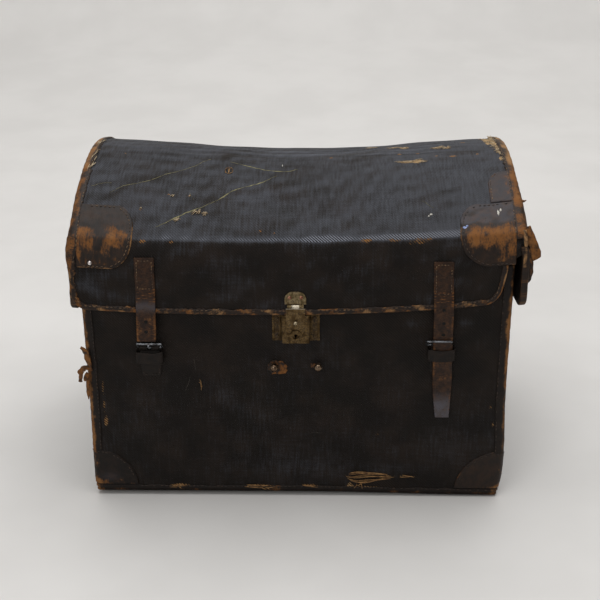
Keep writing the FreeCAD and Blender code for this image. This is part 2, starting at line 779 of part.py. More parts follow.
def make_hasp():
    """The hasp plate on the lid, its pin and rivets, and the flap with staple and knob."""
    half = hasp_plate_width / 2
    bore = rod_x(-half, half, hasp_axis_y, hasp_axis_z, hasp_pin_radius + hinge_pin_clearance)
    bottom = hasp_axis_z + hasp_knuckle_radius + hasp_clearance
    plate_front = lid_front - hasp_thickness
    plate = box(-half, half, plate_front, lid_front, bottom, bottom + hasp_plate_height)
    picked = [edge for edge in edges_along(plate, Y_AXIS) if edge.CenterOfMass.z > bottom + overrun]
    plate = plate.makeFillet(hasp_plate_corner_radius, picked)
    pieces = [plate]
    middle = hasp_middle_knuckle / 2
    outer = middle + hinge_knuckle_gap
    for side in (-1, 1):
        x0, x1 = ordered(side * outer, side * hasp_knuckle_length / 2)
        pieces.append(hasp_knuckle(x0, x1))
        pieces.append(box(x0, x1, plate_front, lid_front - hasp_clearance, hasp_axis_z, bottom))
    holes = wall_holes(hasp_rivets, plate_front - overrun, lid_front + overrun, rivet_hole_radius)
    save("hasp_plate", cut_all(fuse(pieces), holes + [bore]))
    pin_half = hasp_knuckle_length / 2
    save("hasp_pin", rod_x(-pin_half, pin_half, hasp_axis_y, hasp_axis_z, hasp_pin_radius))
    hasp_rivet = rivet(lid_wall + hasp_thickness)
    save("hasp_rivets", Part.makeCompound([
        set_in_wall(hasp_rivet, x, plate_front, z, -1) for x, z in hasp_rivets]))

    half = hasp_flap_width / 2
    flap_top = hasp_axis_z - hasp_knuckle_radius - hasp_clearance
    flap = box(-half, half, flap_front, flap_back, flap_bottom, flap_top)
    picked = [edge for edge in edges_along(flap, Y_AXIS) if edge.CenterOfMass.z < flap_bottom + overrun]
    flap = flap.makeFillet(hasp_flap_corner_radius, picked)
    neck = box(-middle, middle, flap_front, flap_back, flap_top, hasp_axis_z)
    staple = box(-staple_width / 2, staple_width / 2, flap_back, staple_end, staple_bottom,
                 staple_bottom + staple_height)
    eye_half = bolt_half + staple_slot_clearance / 2
    eye = box(-staple_width, staple_width, bolt_y - eye_half, bolt_y + eye_half,
              staple_z - eye_half, staple_z + eye_half)
    whole = fuse([flap, neck, hasp_knuckle(-middle, middle), staple])
    save("hasp_flap", whole.cut(eye).cut(bore))
    knob_z = hasp_axis_z - hasp_flap_length * knob_share
    ball_y = flap_front - knob_neck_length - knob_radius * ball_stand_share
    ball = Part.makeSphere(knob_radius, Vector(0, ball_y, knob_z))
    save("hasp_knob", fuse([ball, rod_y(ball_y, flap_front, 0, knob_z, knob_neck_radius)]))


# Studs and torn tab

def make_studs():
    """Two ball-headed studs through the front wall and what is left of a leather tab."""
    inside = base_front + base_wall
    for side, right in SIDES.items():
        x = right * stud_spacing / 2
        seat = base_front - (tab_thickness if side == "left" else 0)
        ball_y = seat - stud_neck_length - stud_ball_radius * ball_stand_share
        stud = fuse([
            Part.makeSphere(stud_ball_radius, Vector(x, ball_y, stud_height)),
            rod_y(ball_y, seat, x, stud_height, stud_neck_radius),
            rod_y(seat, inside, x, stud_height, stud_shank_radius),
            rod_y(inside, inside + stud_washer_thickness, x, stud_height, stud_washer_radius)])
        save("stud_" + side, stud)
    x = -stud_spacing / 2
    tab = box(x - tab_corner_radius, x - tab_corner_radius + tab_length, base_front - tab_thickness,
              base_front, stud_height - tab_height / 2, stud_height + tab_height / 2)
    tab = tab.makeFillet(tab_corner_radius, edges_along(tab, Y_AXIS))
    hole = rod_y(base_front - tab_thickness - overrun, base_front + overrun, x, stud_height,
                 stud_hole_radius)
    save("leather_tab", tab.cut(hole))


# Straps on the lid, and what takes them on the base

strap_x = {"left": -base_half * left_strap_share, "right": base_half * right_strap_share}
buckle_height = {"left": rim_middle - left_buckle_drop, "right": rim_middle - right_buckle_drop}
strap_back = lid_front - lid_leather_thickness - strap_gap
crease_y = strap_back - strap_thickness / 2
bar_y = (base_front - keeper_thickness - strap_gap - chape_thickness - buckle_clearance
         - buckle_wire_radius)
ring_radius = buckle_wire_radius + buckle_clearance + chape_thickness
thread_y = bar_y - ring_radius - strap_gap - strap_thickness / 2
tilt = math.radians(buckle_tilt_degrees)


def make_strap(side):
    """The sewn part of a strap on the lid, and its free tail below the crease."""
    x0 = strap_x[side] - strap_width / 2
    x1 = strap_x[side] + strap_width / 2
    half = strap_thickness / 2
    strap_rim = rim_level(strap_x[side])
    crease_z = strap_rim - strap_crease_drop
    top = base_top + strap_top_rise
    jog_bottom = strap_rim + rim_binding_height
    jog_top = jog_bottom + strap_jog
    end = crease_z + half + strap_gap
    sewn = [(lid_front, top), (lid_front, jog_top), (strap_back, jog_bottom), (strap_back, end),
            (strap_back - strap_thickness, end), (strap_back - strap_thickness, jog_bottom),
            (lid_front - strap_thickness, jog_top), (lid_front - strap_thickness, top)]
    save("strap_" + side, strip_x(sewn, x0, x1))

    crease = rod_x(x0, x1, crease_y, crease_z, half)
    if side == "left":
        tail_end = crease_z - left_tail_length
        line = [(crease_y, crease_z), (crease_y, tail_end)]
        outline = [(x0, crease_z + half), (x1, crease_z + half), (x1, tail_end), (x0, tail_end)]
    else:
        tail_end = crease_z - right_tail_length
        bar_top = buckle_height[side] + buckle_reach + strap_thickness
        keeper_bottom = buckle_height[side] - keeper_drop - keeper_height
        rest_y = base_front - strap_gap - half
        line = [(crease_y, crease_z), (thread_y, bar_top), (thread_y, keeper_bottom - strap_gap),
                (rest_y, keeper_bottom - right_tail_settle), (rest_y, tail_end)]
        tip = right_tail_tip_width / 2
        shoulder = tail_end + right_tail_tip_taper
        outline = [(x0, crease_z + half), (x1, crease_z + half), (x1, shoulder),
                   (strap_x[side] + tip, tail_end), (strap_x[side] - tip, tail_end), (x0, shoulder)]
    outer = [(y - half, z) for y, z in line]
    inner = [(y + half, z) for y, z in line]
    tail = fuse([strip_x(outer + inner[::-1], x0, x1), crease])
    tail = tail.common(strip_y(outline, lid_front - strap_width, base_front))
    holes = [rod_y(crease_y - strap_thickness - overrun, base_front, strap_x[side],
                   crease_z - strap_first_hole - step * strap_hole_spacing, strap_hole_radius)
             for step in range(strap_holes)]
    save("strap_tail_" + side, cut_all(tail, holes))


def make_chape(side):
    """Leather sewn to the base, looped round the buckle's bar, with a slot for the prong."""
    x = strap_x[side]
    half = chape_width / 2
    bar_z = buckle_height[side]
    bottom = bar_z - chape_length
    keeper_bottom = bar_z - keeper_drop - keeper_height
    seat = base_front - keeper_thickness - strap_gap
    leg = [(base_front, bottom), (base_front, keeper_bottom - chape_jog), (seat, keeper_bottom - strap_gap),
           (seat, bar_z), (seat - chape_thickness, bar_z), (seat - chape_thickness, keeper_bottom - strap_gap),
           (base_front - chape_thickness, keeper_bottom - chape_jog), (base_front - chape_thickness, bottom)]
    loop = rod_x(x - half, x + half, bar_y, bar_z, ring_radius)
    whole = fuse([strip_x(leg, x - half, x + half), loop])
    bore = rod_x(x - half - overrun, x + half + overrun, bar_y, bar_z,
                 buckle_wire_radius + buckle_clearance)
    slot_reach = ring_radius + strap_gap
    slot = box(x - chape_slot_width / 2, x + chape_slot_width / 2, bar_y - slot_reach,
               seat + overrun, bar_z - slot_reach, bar_z + slot_reach)
    save("chape_" + side, whole.cut(bore).cut(slot))

    half = keeper_width / 2
    front = thread_y - strap_thickness / 2 - strap_gap - keeper_thickness
    keeper = box(x - half, x + half, front, base_front, keeper_bottom, keeper_bottom + keeper_height)
    inside = box(x - half + keeper_thickness, x + half - keeper_thickness, front + keeper_thickness,
                 base_front - keeper_thickness, keeper_bottom - overrun,
                 keeper_bottom + keeper_height + overrun)
    save("keeper_" + side, keeper.cut(inside))


def make_buckle(side):
    """An iron bar buckle leaning out from the base, and its prong."""
    x = strap_x[side]
    bar_z = buckle_height[side]
    radius = buckle_wire_radius
    half = buckle_inner_width / 2 + radius
    top_y = bar_y - buckle_reach * math.sin(tilt)
    top_z = bar_z + buckle_reach * math.cos(tilt)
    along = Vector(0, top_y - bar_y, top_z - bar_z)
    pieces = [rod_x(x - half, x + half, bar_y, bar_z, radius),
              rod_x(x - half, x + half, top_y, top_z, radius)]
    for end in (x - half, x + half):
        foot = Vector(end, bar_y, bar_z)
        pieces.append(Part.makeCylinder(radius, buckle_reach, foot, along))
        pieces.append(Part.makeSphere(radius, foot))
        pieces.append(Part.makeSphere(radius, foot + along))
    save("buckle_" + side, fuse(pieces))

    lift = math.asin((radius + prong_radius + buckle_clearance) / buckle_reach)
    lean = tilt + lift if side == "left" else 0
    length = buckle_reach + prong_overhang
    eye_radius = radius + buckle_clearance + prong_radius
    eye = rod_x(x - prong_eye_width / 2, x + prong_eye_width / 2, bar_y, bar_z, eye_radius)
    rod = Part.makeCylinder(prong_radius, length, Vector(x, bar_y, bar_z),
                            Vector(0, -math.sin(lean), math.cos(lean)))
    bore = rod_x(x - prong_eye_width, x + prong_eye_width, bar_y, bar_z, radius + buckle_clearance)
    save("prong_" + side, fuse([eye, rod]).cut(bore))


os.makedirs("parts", exist_ok=True)
make_battens()
make_base_box()
make_base_leather()
make_lid_box()
make_rim_bindings()
lid_leather = leather_over_lid()
make_end_bindings(lid_leather)
make_caps(lid_leather)
make_hinges()
make_lock()
make_hasp()
make_studs()
for strap_side in SIDES:
    make_strap(strap_side)
    make_chape(strap_side)
    make_buckle(strap_side)
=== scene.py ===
import math

import bpy
import numpy as np
from mathutils import Matrix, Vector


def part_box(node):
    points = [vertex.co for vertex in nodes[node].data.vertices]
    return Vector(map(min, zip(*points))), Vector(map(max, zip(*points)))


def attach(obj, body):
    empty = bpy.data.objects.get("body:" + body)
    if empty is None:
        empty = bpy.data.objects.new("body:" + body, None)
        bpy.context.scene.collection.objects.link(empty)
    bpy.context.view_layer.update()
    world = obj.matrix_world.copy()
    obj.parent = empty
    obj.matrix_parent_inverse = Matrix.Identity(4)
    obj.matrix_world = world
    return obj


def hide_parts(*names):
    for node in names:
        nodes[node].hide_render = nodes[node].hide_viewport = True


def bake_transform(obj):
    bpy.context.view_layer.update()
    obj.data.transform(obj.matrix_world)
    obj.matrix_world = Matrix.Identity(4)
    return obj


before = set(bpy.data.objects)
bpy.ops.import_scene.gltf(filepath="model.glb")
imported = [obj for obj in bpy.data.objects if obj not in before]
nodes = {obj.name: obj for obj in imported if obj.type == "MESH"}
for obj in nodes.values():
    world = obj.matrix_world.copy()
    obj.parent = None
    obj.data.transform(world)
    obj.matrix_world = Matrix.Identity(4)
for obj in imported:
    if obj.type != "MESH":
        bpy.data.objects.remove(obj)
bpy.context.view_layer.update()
MM = 0.001

# Battens: three runners of stained softwood under the floor, planed square and left rough.
# Each is screwed up into the floor by four countersunk iron screws.


class Wire:
    """A shader socket. Sums on it add Math nodes, and node() adds any other node."""

    def __init__(self, tree, socket=None):
        self.tree = tree
        self.socket = socket

    def node(self, kind, settings=None, inputs=None, out=0):
        made = self.tree.nodes.new(kind)
        for name, value in (settings or {}).items():
            setattr(made, name, value)
        for key, value in (inputs or {}).items():
            if isinstance(value, Wire):
                self.tree.links.new(value.socket, made.inputs[key])
            else:
                made.inputs[key].default_value = value
        return Wire(self.tree, made.outputs[out] if made.outputs else None)

    def sum(self, operation, first, second=0.0):
        return self.node("ShaderNodeMath", {"operation": operation}, {0: first, 1: second})

    def __add__(self, other):
        return self.sum("ADD", self, other)

    def __sub__(self, other):
        return self.sum("SUBTRACT", self, other)

    def __rsub__(self, other):
        return self.sum("SUBTRACT", other, self)

    def __mul__(self, other):
        return self.sum("MULTIPLY", self, other)

    __radd__ = __add__
    __rmul__ = __mul__

    def wave(self, length):
        """A sine over this run, with its wavelength in millimetres."""
        return self.sum("SINE", self * (2 * math.pi / (length * MM)))

    def between(self, low, high):
        """0 at low, 1 at high, eased between them."""
        return self.node("ShaderNodeMapRange", {"interpolation_type": "SMOOTHSTEP"},
                         {"Value": self, "From Min": low, "From Max": high})

    def mix(self, low, high):
        """A colour from low to high as this mask rises."""
        return self.node("ShaderNodeMix", {"data_type": "RGBA"}, {0: self, 6: low, 7: high}, 2)

    def scaled(self, x, y, z):
        return self.node("ShaderNodeVectorMath", {"operation": "MULTIPLY"}, {0: self, 1: (x, y, z)})

    def part(self, axis):
        return self.node("ShaderNodeSeparateXYZ", {}, {0: self}, axis)

    def tint(self, channel):
        return self.node("ShaderNodeSeparateColor", {}, {0: self}, channel)

    def carried(self, name, out):
        """What the mesh carries at its points under this name."""
        return self.node("ShaderNodeAttribute", {"attribute_name": name}, {}, out)

    def noise(self, size, detail=4.0, rough=0.55):
        """Cloudy noise over these coordinates, its spots about a size in millimetres."""
        return self.node("ShaderNodeTexNoise", {}, {
            "Vector": self, "Scale": 1 / (size * MM), "Detail": detail, "Roughness": rough})

    def cells(self, size):
        """Distance to the nearest of many scattered points, for grain and pits."""
        return self.node("ShaderNodeTexVoronoi", {}, {"Vector": self, "Scale": 1 / (size * MM)})


def begin(name):
    """A new material, the wire that its nodes hang on, and the object's own coordinates."""
    made = bpy.data.materials.new(name)
    made.use_nodes = True
    made.node_tree.nodes.clear()
    wire = Wire(made.node_tree)
    return made, wire, wire.node("ShaderNodeTexCoord", {}, {}, "Object")


def close(wire, inputs, relief=None, depth=0.2):
    """Ends a material; relief is raised by a depth in millimetres."""
    if relief is not None:
        inputs["Normal"] = wire.node("ShaderNodeBump", {}, {
            "Height": relief, "Distance": depth * MM, "Strength": 1.0})
    shader = wire.node("ShaderNodeBsdfPrincipled", {}, inputs)
    wire.node("ShaderNodeOutputMaterial", {}, {"Surface": shader})


def dress(finish, *names, soften=0.0):
    """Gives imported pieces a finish, and rounds their edges by a width in millimetres."""
    for name in names:
        part = nodes[name]
        part.data.materials.clear()
        part.data.materials.append(finish)
        if soften:
            part.modifiers.new("joined", "WELD").merge_threshold = 0.005 * MM
            edge = part.modifiers.new("softened", "BEVEL")
            edge.width = soften * MM
            edge.segments = 2
            edge.limit_method = "ANGLE"
            edge.angle_limit = math.radians(40)


WOOD_DARK, WOOD_LIGHT = (0.035, 0.016, 0.009, 1), (0.11, 0.05, 0.026, 1)
WOOD_DUST = (0.14, 0.11, 0.085, 1)


def batten_wood():
    """Stained softwood with its grain along the runner, dusty in patches."""
    made, wire, place = begin("stained_softwood")
    grain = place.scaled(0.06, 1, 1).noise(5, 6)
    fine = place.scaled(0.02, 1, 1).noise(1.4, 3)
    tone = grain.between(0.3, 0.72).mix(WOOD_DARK, WOOD_LIGHT)
    dust = place.noise(30).between(0.5, 0.75) * 0.4
    close(wire, {"Base Color": dust.mix(tone, WOOD_DUST), "Roughness": 0.62 + fine * 0.25},
          grain + fine * 0.6, 0.5)
    return made


dress(batten_wood(), "batten_front", "batten_middle", "batten_rear")
IRON_RUST = (0.07, 0.03, 0.014, 1)


def iron_finish(name, dark, bright, rough):
    """Blackened iron: a dark skin rubbed bright in spots, with brown rust in the pits."""
    made, wire, place = begin(name)
    patches = place.noise(9, 5)
    pits = place.cells(1.6)
    rust = place.noise(5, 6).between(0.56, 0.7)
    tone = patches.between(0.35, 0.65).mix(dark, bright)
    close(wire, {"Base Color": (rust * 0.7).mix(tone, IRON_RUST),
                 "Metallic": 1 - rust * 0.75, "Roughness": rough + patches * 0.25 + rust * 0.25},
          patches + pits * 0.4, 0.25)
    return made


black_iron = iron_finish("black_iron", (0.05, 0.05, 0.052, 1), (0.2, 0.2, 0.205, 1), 0.24)
dress(black_iron, "batten_screws")

# Base canvas: one length of waxed twill glued round a box of plaited willow board and turned under
# its floor. The board has sunk in places, so the cloth lies in shallow dents, and the wax has
# rubbed off along the bottom edge down to the tan yarn.

BASE_CORNER = 7.0
BASE_ROLL = 8.0
REAR_DROP = 41.5
base_low, base_high = (np.array(corner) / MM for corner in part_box("base_canvas"))
base_half_x, base_half_y = base_high[0], base_high[1]
base_bottom, base_top = base_low[2], base_high[2]


def ease(t):
    """0 to 1, eased at both ends."""
    t = np.clip(t, 0, 1)
    return t * t * (3 - 2 * t)


def spot(a, b, at, size):
    """A soft round hill at a place, with its two half widths."""
    return np.exp(-((a - at[0]) / size[0]) ** 2 - ((b - at[1]) / size[1]) ** 2)


def hills(a, b, marks):
    """Soft hills summed up, each by its place, its half widths, its height and perhaps its slant."""
    total = 0
    for at, size, height, *slant in marks:
        total = total + height * spot(a + sum(slant) * b, b, at, size)
    return total


def uneven(a, b, size, seed):
    """Smooth random heights of about -1 to 1 over two runs; size is the spacing of the bumps."""
    draw = np.random.default_rng(seed)
    total = 0
    for _ in range(8):
        turn = draw.uniform(0, 2 * math.pi)
        wave = 2 * math.pi / (size * draw.uniform(0.7, 1.7))
        total = total + np.sin(wave * (a * math.cos(turn) + b * math.sin(turn)) + draw.uniform(0, 6.3))
    return total / 4


def run_along(line):
    """The run from a line's first point to each of its points."""
    return np.concatenate([[0], np.cumsum(np.linalg.norm(np.diff(line, axis=0), axis=1))])


def outline(half_x, half_y, corner, step):
    """A round-cornered outline from the front's left end: places, outward directions and runs."""
    places, outward = [], []
    for quarter in range(4):
        turn = quarter * math.pi / 2
        along = np.array([math.cos(turn), math.sin(turn)])
        out = np.array([math.sin(turn), -math.cos(turn)])
        reach, stand = (half_x, half_y) if quarter % 2 == 0 else (half_y, half_x)
        count = int(2 * (reach - corner) / step) + 2
        for t in np.linspace(corner - reach, reach - corner, count):
            places.append(t * along + stand * out)
            outward.append(out)
        for angle in np.radians([15, 30, 45, 60, 75]):
            facing = math.cos(angle) * out + math.sin(angle) * along
            places.append((reach - corner) * along + (stand - corner) * out + corner * facing)
            outward.append(facing)
    places, outward = np.array(places), np.array(outward)
    return places, outward, run_along(np.concatenate([places, places[:1]]))


base_places, base_outward, base_runs = outline(base_half_x, base_half_y, BASE_CORNER, 4.0)
base_length = base_runs[-1]
front_run = 2 * (base_half_x - BASE_CORNER)
corner_arc = BASE_CORNER * math.pi / 2
side_run = 2 * (base_half_y - BASE_CORNER)
CORNER_RUNS = {"front_left": -corner_arc / 2,
               "front_right": front_run + corner_arc / 2,
               "rear_right": front_run + 1.5 * corner_arc + side_run,
               "rear_left": 2 * front_run + 2.5 * corner_arc + side_run}
FITTINGS = ((-62, 62, 230), (-275, -208, 215), (203, 268, 140))
BASE_DENTS = (((-95, 165), (90, 60), -4.5), ((60, 130), (120, 45), -3.5),
              ((-30, 190), (22, 70), 2.0, 0.7), ((15, 200), (26, 80), -2.4, 0.7),
              ((110, 200), (30, 90), 1.6, -0.5))


def fitted(x, z):
    """1 on the front where fittings hold the cloth flat to the board, 0 away from them."""
    hold = 0
    for left, right, foot in FITTINGS:
        gap = np.hypot(np.maximum(np.maximum(left - x, x - right), 0), np.maximum(foot - z, 0))
        hold = np.maximum(hold, ease(1 - gap / 35))
    return hold


def base_swell(x, y, z):
    """How far the base's cloth stands out or has sunk in, in millimetres."""
    end_wall = np.abs(x) > base_half_x - BASE_CORNER
    run = np.where(end_wall, y * np.sign(x), x * np.sign(-y))
    from_corner = np.where(end_wall, base_half_y - np.abs(y), base_half_x - np.abs(x))
    calm = ease((from_corner - 18) / 60) * ease((z - 40) / 70) * ease((base_top - 20 - z) / 60)
    swell = 1.5 * uneven(run, z, 190, 3) + 0.7 * uneven(run, z, 70, 4)
    front = (swell * 0.7 + hills(x, z, BASE_DENTS)) * (1 - fitted(x, z))
    return np.where(y < 10 - base_half_y, front, swell - 1.2) * calm


def base_lean(points):
    """The base as it has racked: its foot has crept to the left, its right end has sunk and bulged."""
    moved = points.copy()
    x, z = points[..., 0], points[..., 2]
    foot = 1 - ease((z - base_bottom) / 110)
    right = ease((x - 200) / 150)
    bulge = 4.6 * np.exp(-((z - 85) / 75) ** 2) - 3.0 * (1 - ease((z - base_bottom) / 45))
    moved[..., 0] += right * bulge - (1 - right) * 4.5 * ease((270 - z) / 250)
    moved[..., 2] -= 5.0 * foot * ease((x - 20) / 320)
    return moved


def on_base(run, z, out):
    """A point on the base's outside: run round it, height, and how far it stands off."""
    run = np.mod(run, base_length)
    closed = np.concatenate([base_places, base_places[:1]])
    facing = np.concatenate([base_outward, base_outward[:1]])
    x, y = (np.interp(run, base_runs, closed[:, k]) for k in (0, 1))
    nx, ny = (np.interp(run, base_runs, facing[:, k]) for k in (0, 1))
    z = np.asarray(z, float) + 0 * x
    roll = np.clip(base_bottom + BASE_ROLL - z, 0, BASE_ROLL)
    stand = out + base_swell(x, y, z) - BASE_ROLL + np.sqrt(BASE_ROLL ** 2 - roll ** 2)
    return base_lean(np.stack([x + nx * stand, y + ny * stand, z], -1))


def layers(values, shape, depth):
    """Values over a grid as one array: none are zeros, and those of a tuple are stacked."""
    if values is None:
        return np.zeros((*shape, depth))
    if isinstance(values, tuple):
        return np.stack([np.broadcast_to(value, shape) for value in values], -1)
    return values


def patch(points, cloth=None, paint=None, wrap=False, ends=False):
    """A grid of points in millimetres with its cloth run and its paint: worn, grey (dust with painted light)
    and pale.
    It may be wrapped round, or made a bar with closed ends."""
    shape = points.shape[:2]
    return {"points": points, "cloth": layers(cloth, shape, 2), "paint": layers(paint, shape, 3),
            "wrap": wrap, "ends": ends}


def piece(name, points, faces, finish, body, cloth=None, paint=None, replaces=()):
    """A named mesh that rides on a body, with the attributes that its finish reads."""
    mesh = bpy.data.meshes.new(name)
    mesh.from_pydata((np.asarray(points) * MM).tolist(), [], faces)
    mesh.shade_smooth()
    if cloth is not None:
        run = np.zeros((len(points), 3), np.float32)
        run[:, :2] = np.asarray(cloth) * MM
        mesh.attributes.new("cloth", "FLOAT_VECTOR", "POINT").data.foreach_set("vector", run.ravel())
    if paint is not None:
        tint = np.ones((len(points), 4), np.float32)
        tint[:, :3] = paint
        mesh.attributes.new("paint", "FLOAT_COLOR", "POINT").data.foreach_set("color", tint.ravel())
    mesh.materials.append(finish)
    made = bpy.data.objects.new(name, mesh)
    bpy.context.scene.collection.objects.link(made)
    if body:
        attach(made, body)
    if replaces:
        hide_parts(*replaces)
    return made


def quads(rows, cols, start, wrap):
    """The faces between the rows and columns of a grid of points."""
    index = np.arange(rows * cols).reshape(rows, cols) + start
    if wrap:
        index = np.concatenate([index, index[:, :1]], 1)
    faces = np.stack([index[:-1, :-1], index[:-1, 1:], index[1:, 1:], index[1:, :-1]], -1)
    return faces.reshape(-1, 4).tolist()


def bar_faces(rows, cols, start):
    """The faces of a round bar through rows of points, with its ends closed."""
    last = start + (rows - 1) * cols
    ends = [list(range(start + cols - 1, start - 1, -1)), list(range(last, last + cols))]
    return quads(rows, cols, start, True) + ends


def surface(name, patches, finish, body, thickness=0.0, replaces=()):
    """One mesh from grids; thickness in millimetres is added on the inside."""
    faces, start = [], 0
    for part in patches:
        rows, cols = part["points"].shape[:2]
        if part["ends"]:
            faces += bar_faces(rows, cols, start)
        else:
            faces += quads(rows, cols, start, part["wrap"])
        start += rows * cols
    points, cloth, paint = (np.concatenate([part[layer].reshape(-1, depth) for part in patches])
                            for layer, depth in (("points", 3), ("cloth", 2), ("paint", 3)))
    made = piece(name, points, faces, finish, body, cloth, paint, replaces)
    if thickness:
        shell = made.modifiers.new("thickness", "SOLIDIFY")
        shell.thickness = thickness * MM
        shell.offset = -1
    return made


CANVAS_DARK, CANVAS_BROWN = (0.0060, 0.0042, 0.0032, 1), (0.0140, 0.0092, 0.0066, 1)
# Grey tones of the waxed cloth: dust on the wax, which also serves as painted sheen where the cloth faces the
# lamp above, and a pale blue-grey painted highlight for the ribs over the crest.
CANVAS_BLOOM_AND_SHEEN = (0.0435, 0.0465, 0.0560, 1)
CANVAS_RUBBED, CANVAS_RIB_HIGHLIGHT = (0.13, 0.132, 0.14, 1), (0.235, 0.255, 0.31, 1)
YARN_SHADE = (0.06, 0.03, 0.011, 1)
YARN_TAN, YARN_PALE = (0.22, 0.105, 0.034, 1), (0.42, 0.29, 0.15, 1)


def canvas_finish():
    """Waxed black twill: a diagonal rib, a grey haze of dust and age with painted sheen in it, painted
    highlights on the crest's ribs with painted shade between them, and tan yarn where worn.
    """
    made, wire, _ = begin("waxed_twill")
    cloth, paint = wire.carried("cloth", "Vector"), wire.carried("paint", "Color")
    worn, bloom_and_painted_light, pale = (paint.tint(channel) for channel in range(3))
    across, along = cloth.part(0), cloth.part(1)
    rib = (across + along).wave(4.9)
    weft = (along - across * 0.2).wave(1.7)
    weave = rib * 0.5 + weft * 0.1
    cloud = cloth.noise(60, 5)
    streak = cloth.scaled(0.12, 1, 1).noise(4, 4) * 0.6 + cloth.scaled(1, 0.1, 1).noise(3.5, 4) * 1.4
    specks = cloth.noise(2.6, 3, 0.7)
    fray = cloth.scaled(0.5, 1, 1).noise(5, 6, 0.7)
    bare = (worn * 1.5 + fray * 0.9 + weave * 0.25 - 1.0).between(0.0, 0.22)
    # The grey channel greys the cloth with dust. Where it is laid on high, as over the dome, it is painted
    # sheen as well.
    dust_and_sheen = (bloom_and_painted_light + (cloud - 0.5) * 0.5 + (streak - 1.0) * 0.9 + (specks - 0.5) * 0.6) * 0.8
    black = cloud.between(0.35, 0.7).mix(CANVAS_DARK, CANVAS_BROWN)
    skin = dust_and_sheen.between(0.0, 1.0).mix(black, CANVAS_BLOOM_AND_SHEEN)
    yarn = (pale + (fray - 0.5)).between(0.0, 0.9).mix(YARN_TAN, YARN_PALE)
    # Grey rubbed wax on the rib tops, scaled by the grey channel, so it grows with the painted sheen too.
    rubbed_and_sheen = (weave * 0.6 + specks + streak * 0.3 - 1.05).between(0.0, 0.35) * bloom_and_painted_light * 0.3
    skin = rubbed_and_sheen.mix(skin, CANVAS_RUBBED)
    # Painted highlight over the crest: where the grey channel passes 0.9, the rib tops are painted pale
    # blue-grey for the lamp's light on them, and the hollows between them are painted back to black as
    # painted shade.
    crest_highlight = (bloom_and_painted_light - 0.9).between(0.0, 0.5)
    ridge = rib.between(0.1, 0.9)
    skin = (crest_highlight * (1 - ridge) * 0.9).mix(skin, black)
    skin = (crest_highlight * ridge * 0.9).mix(skin, CANVAS_RIB_HIGHLIGHT)
    tone = bare.mix(skin, (weave + 0.6).between(-0.3, 1).mix(YARN_SHADE, yarn))
    close(wire, {"Base Color": tone, "Roughness": 0.5 + cloud * 0.12 + bare * 0.3 + specks * 0.08,
                 "Specular IOR Level": 0.15},
          weave * (1 - bare * 0.4) + specks * 0.3 + streak * 0.25 + bare * fray * 1.5, 0.34)
    return made


black_canvas = canvas_finish()
FRONT_WEAR = (((-205, 18), (18, 5), .7), ((-64, 18), (24, 5), .8), ((26, 19), (18, 5), .7),
              ((128, 41), (36, 8), .2), ((190, 42), (40, 4), .36), ((96, 24), (7, 9), .4),
              ((120, 17), (40, 4), .6), ((-327, 215), (4, 16), .5), ((-326, 180), (4, 14), .52),
              ((-325, 148), (5, 14), .58), ((-162, 222), (3, 8), .5), ((82, 228), (3, 3), .5),
              ((140, 124), (7, 8), .42), ((326, 179), (4, 8), .45), ((331, 145), (4, 10), .45))
# Grey spots on the base's front: partly dust on the wax and partly painted sheen where the cloth catches the
# light.
FRONT_BLOOM_AND_SHEEN = (((192, 334), (14, 6), .45), ((276, 336), (16, 6), .45), ((-20, 60), (90, 22), .2),
               ((165, 57), (44, 12), .26), ((245, 105), (45, 45), .16))


def base_canvas_patches():
    """The cloth round the walls, worn along its foot, and the cloth under the floor."""
    rise = np.concatenate([[0, 0.0045, 0.009, 0.0135], np.linspace(0.018, 1, 105)])
    top = np.where(base_places[:, 1] > base_half_y - 11.1, base_top - REAR_DROP, base_top)
    z = base_bottom + rise[:, None] * (top - base_bottom)
    runs = np.broadcast_to(base_runs[:-1], z.shape)
    x, y = base_places[:, 0] + 0 * z, base_places[:, 1] + 0 * z
    front = y < 10 - base_half_y
    height = z - base_bottom
    worn = 0.42 * np.exp(-height / 6) + 0.16 * uneven(x, y, 90, 8) * np.exp(-height / 14)
    worn = worn + front * hills(x, z, FRONT_WEAR)
    behind = 0.35 * np.maximum(0, uneven(runs, z, 120, 9)) * np.exp(-height / 60)
    bloom_and_painted_light = 0.02 + 0.1 * uneven(runs, z, 240, 5) + 0.08 * ease((230 - z) / 160)
    # A painted sheen: a soft diagonal band of grey left of the lock, running down to the right, for the light
    # on the cloth.
    diagonal_sheen = 0.24 * spot(x + z, x - z, (77, -308), (24, 80))
    bloom_and_painted_light = bloom_and_painted_light + front * (hills(x, z, FRONT_BLOOM_AND_SHEEN) + diagonal_sheen)
    pale = 0.25 + 0.6 * spot(x, z, (130, 42), (60, 20)) * front
    paint = (worn + np.where(front, 0, behind), bloom_and_painted_light, pale)
    wall = patch(on_base(runs, z, 0.0), (runs, z), paint, wrap=True)
    ys, xs = np.meshgrid(np.linspace(base_half_y - 8, 8 - base_half_y, 60),
                         np.linspace(8 - base_half_x, base_half_x - 8, 90), indexing="ij")
    under = base_lean(np.stack([xs, ys, np.full(xs.shape, base_bottom + 0.3)], -1))
    return [wall, patch(under, (xs, ys), (0.2, 0.4, 0))]


surface("base_cover", base_canvas_patches(), black_canvas, "base",
        replaces=("base_canvas", "base_core"))


def fibre_finish(name, dark, light):
    """Dry vegetable fibre, darker and paler in soft clouds."""
    made, wire, place = begin(name)
    tone = place.noise(7, 4).between(0.3, 0.7).mix(dark, light)
    close(wire, {"Base Color": tone, "Roughness": 0.75 + place.noise(2) * 0.15}, place.noise(0.8, 3), 0.2)
    return made


tan_fibre = fibre_finish("tan_fibre", (0.10, 0.045, 0.014, 1), (0.34, 0.19, 0.07, 1))


def unit(vectors):
    """Directions brought to a length of 1."""
    return vectors / np.linalg.norm(vectors, axis=-1, keepdims=True)


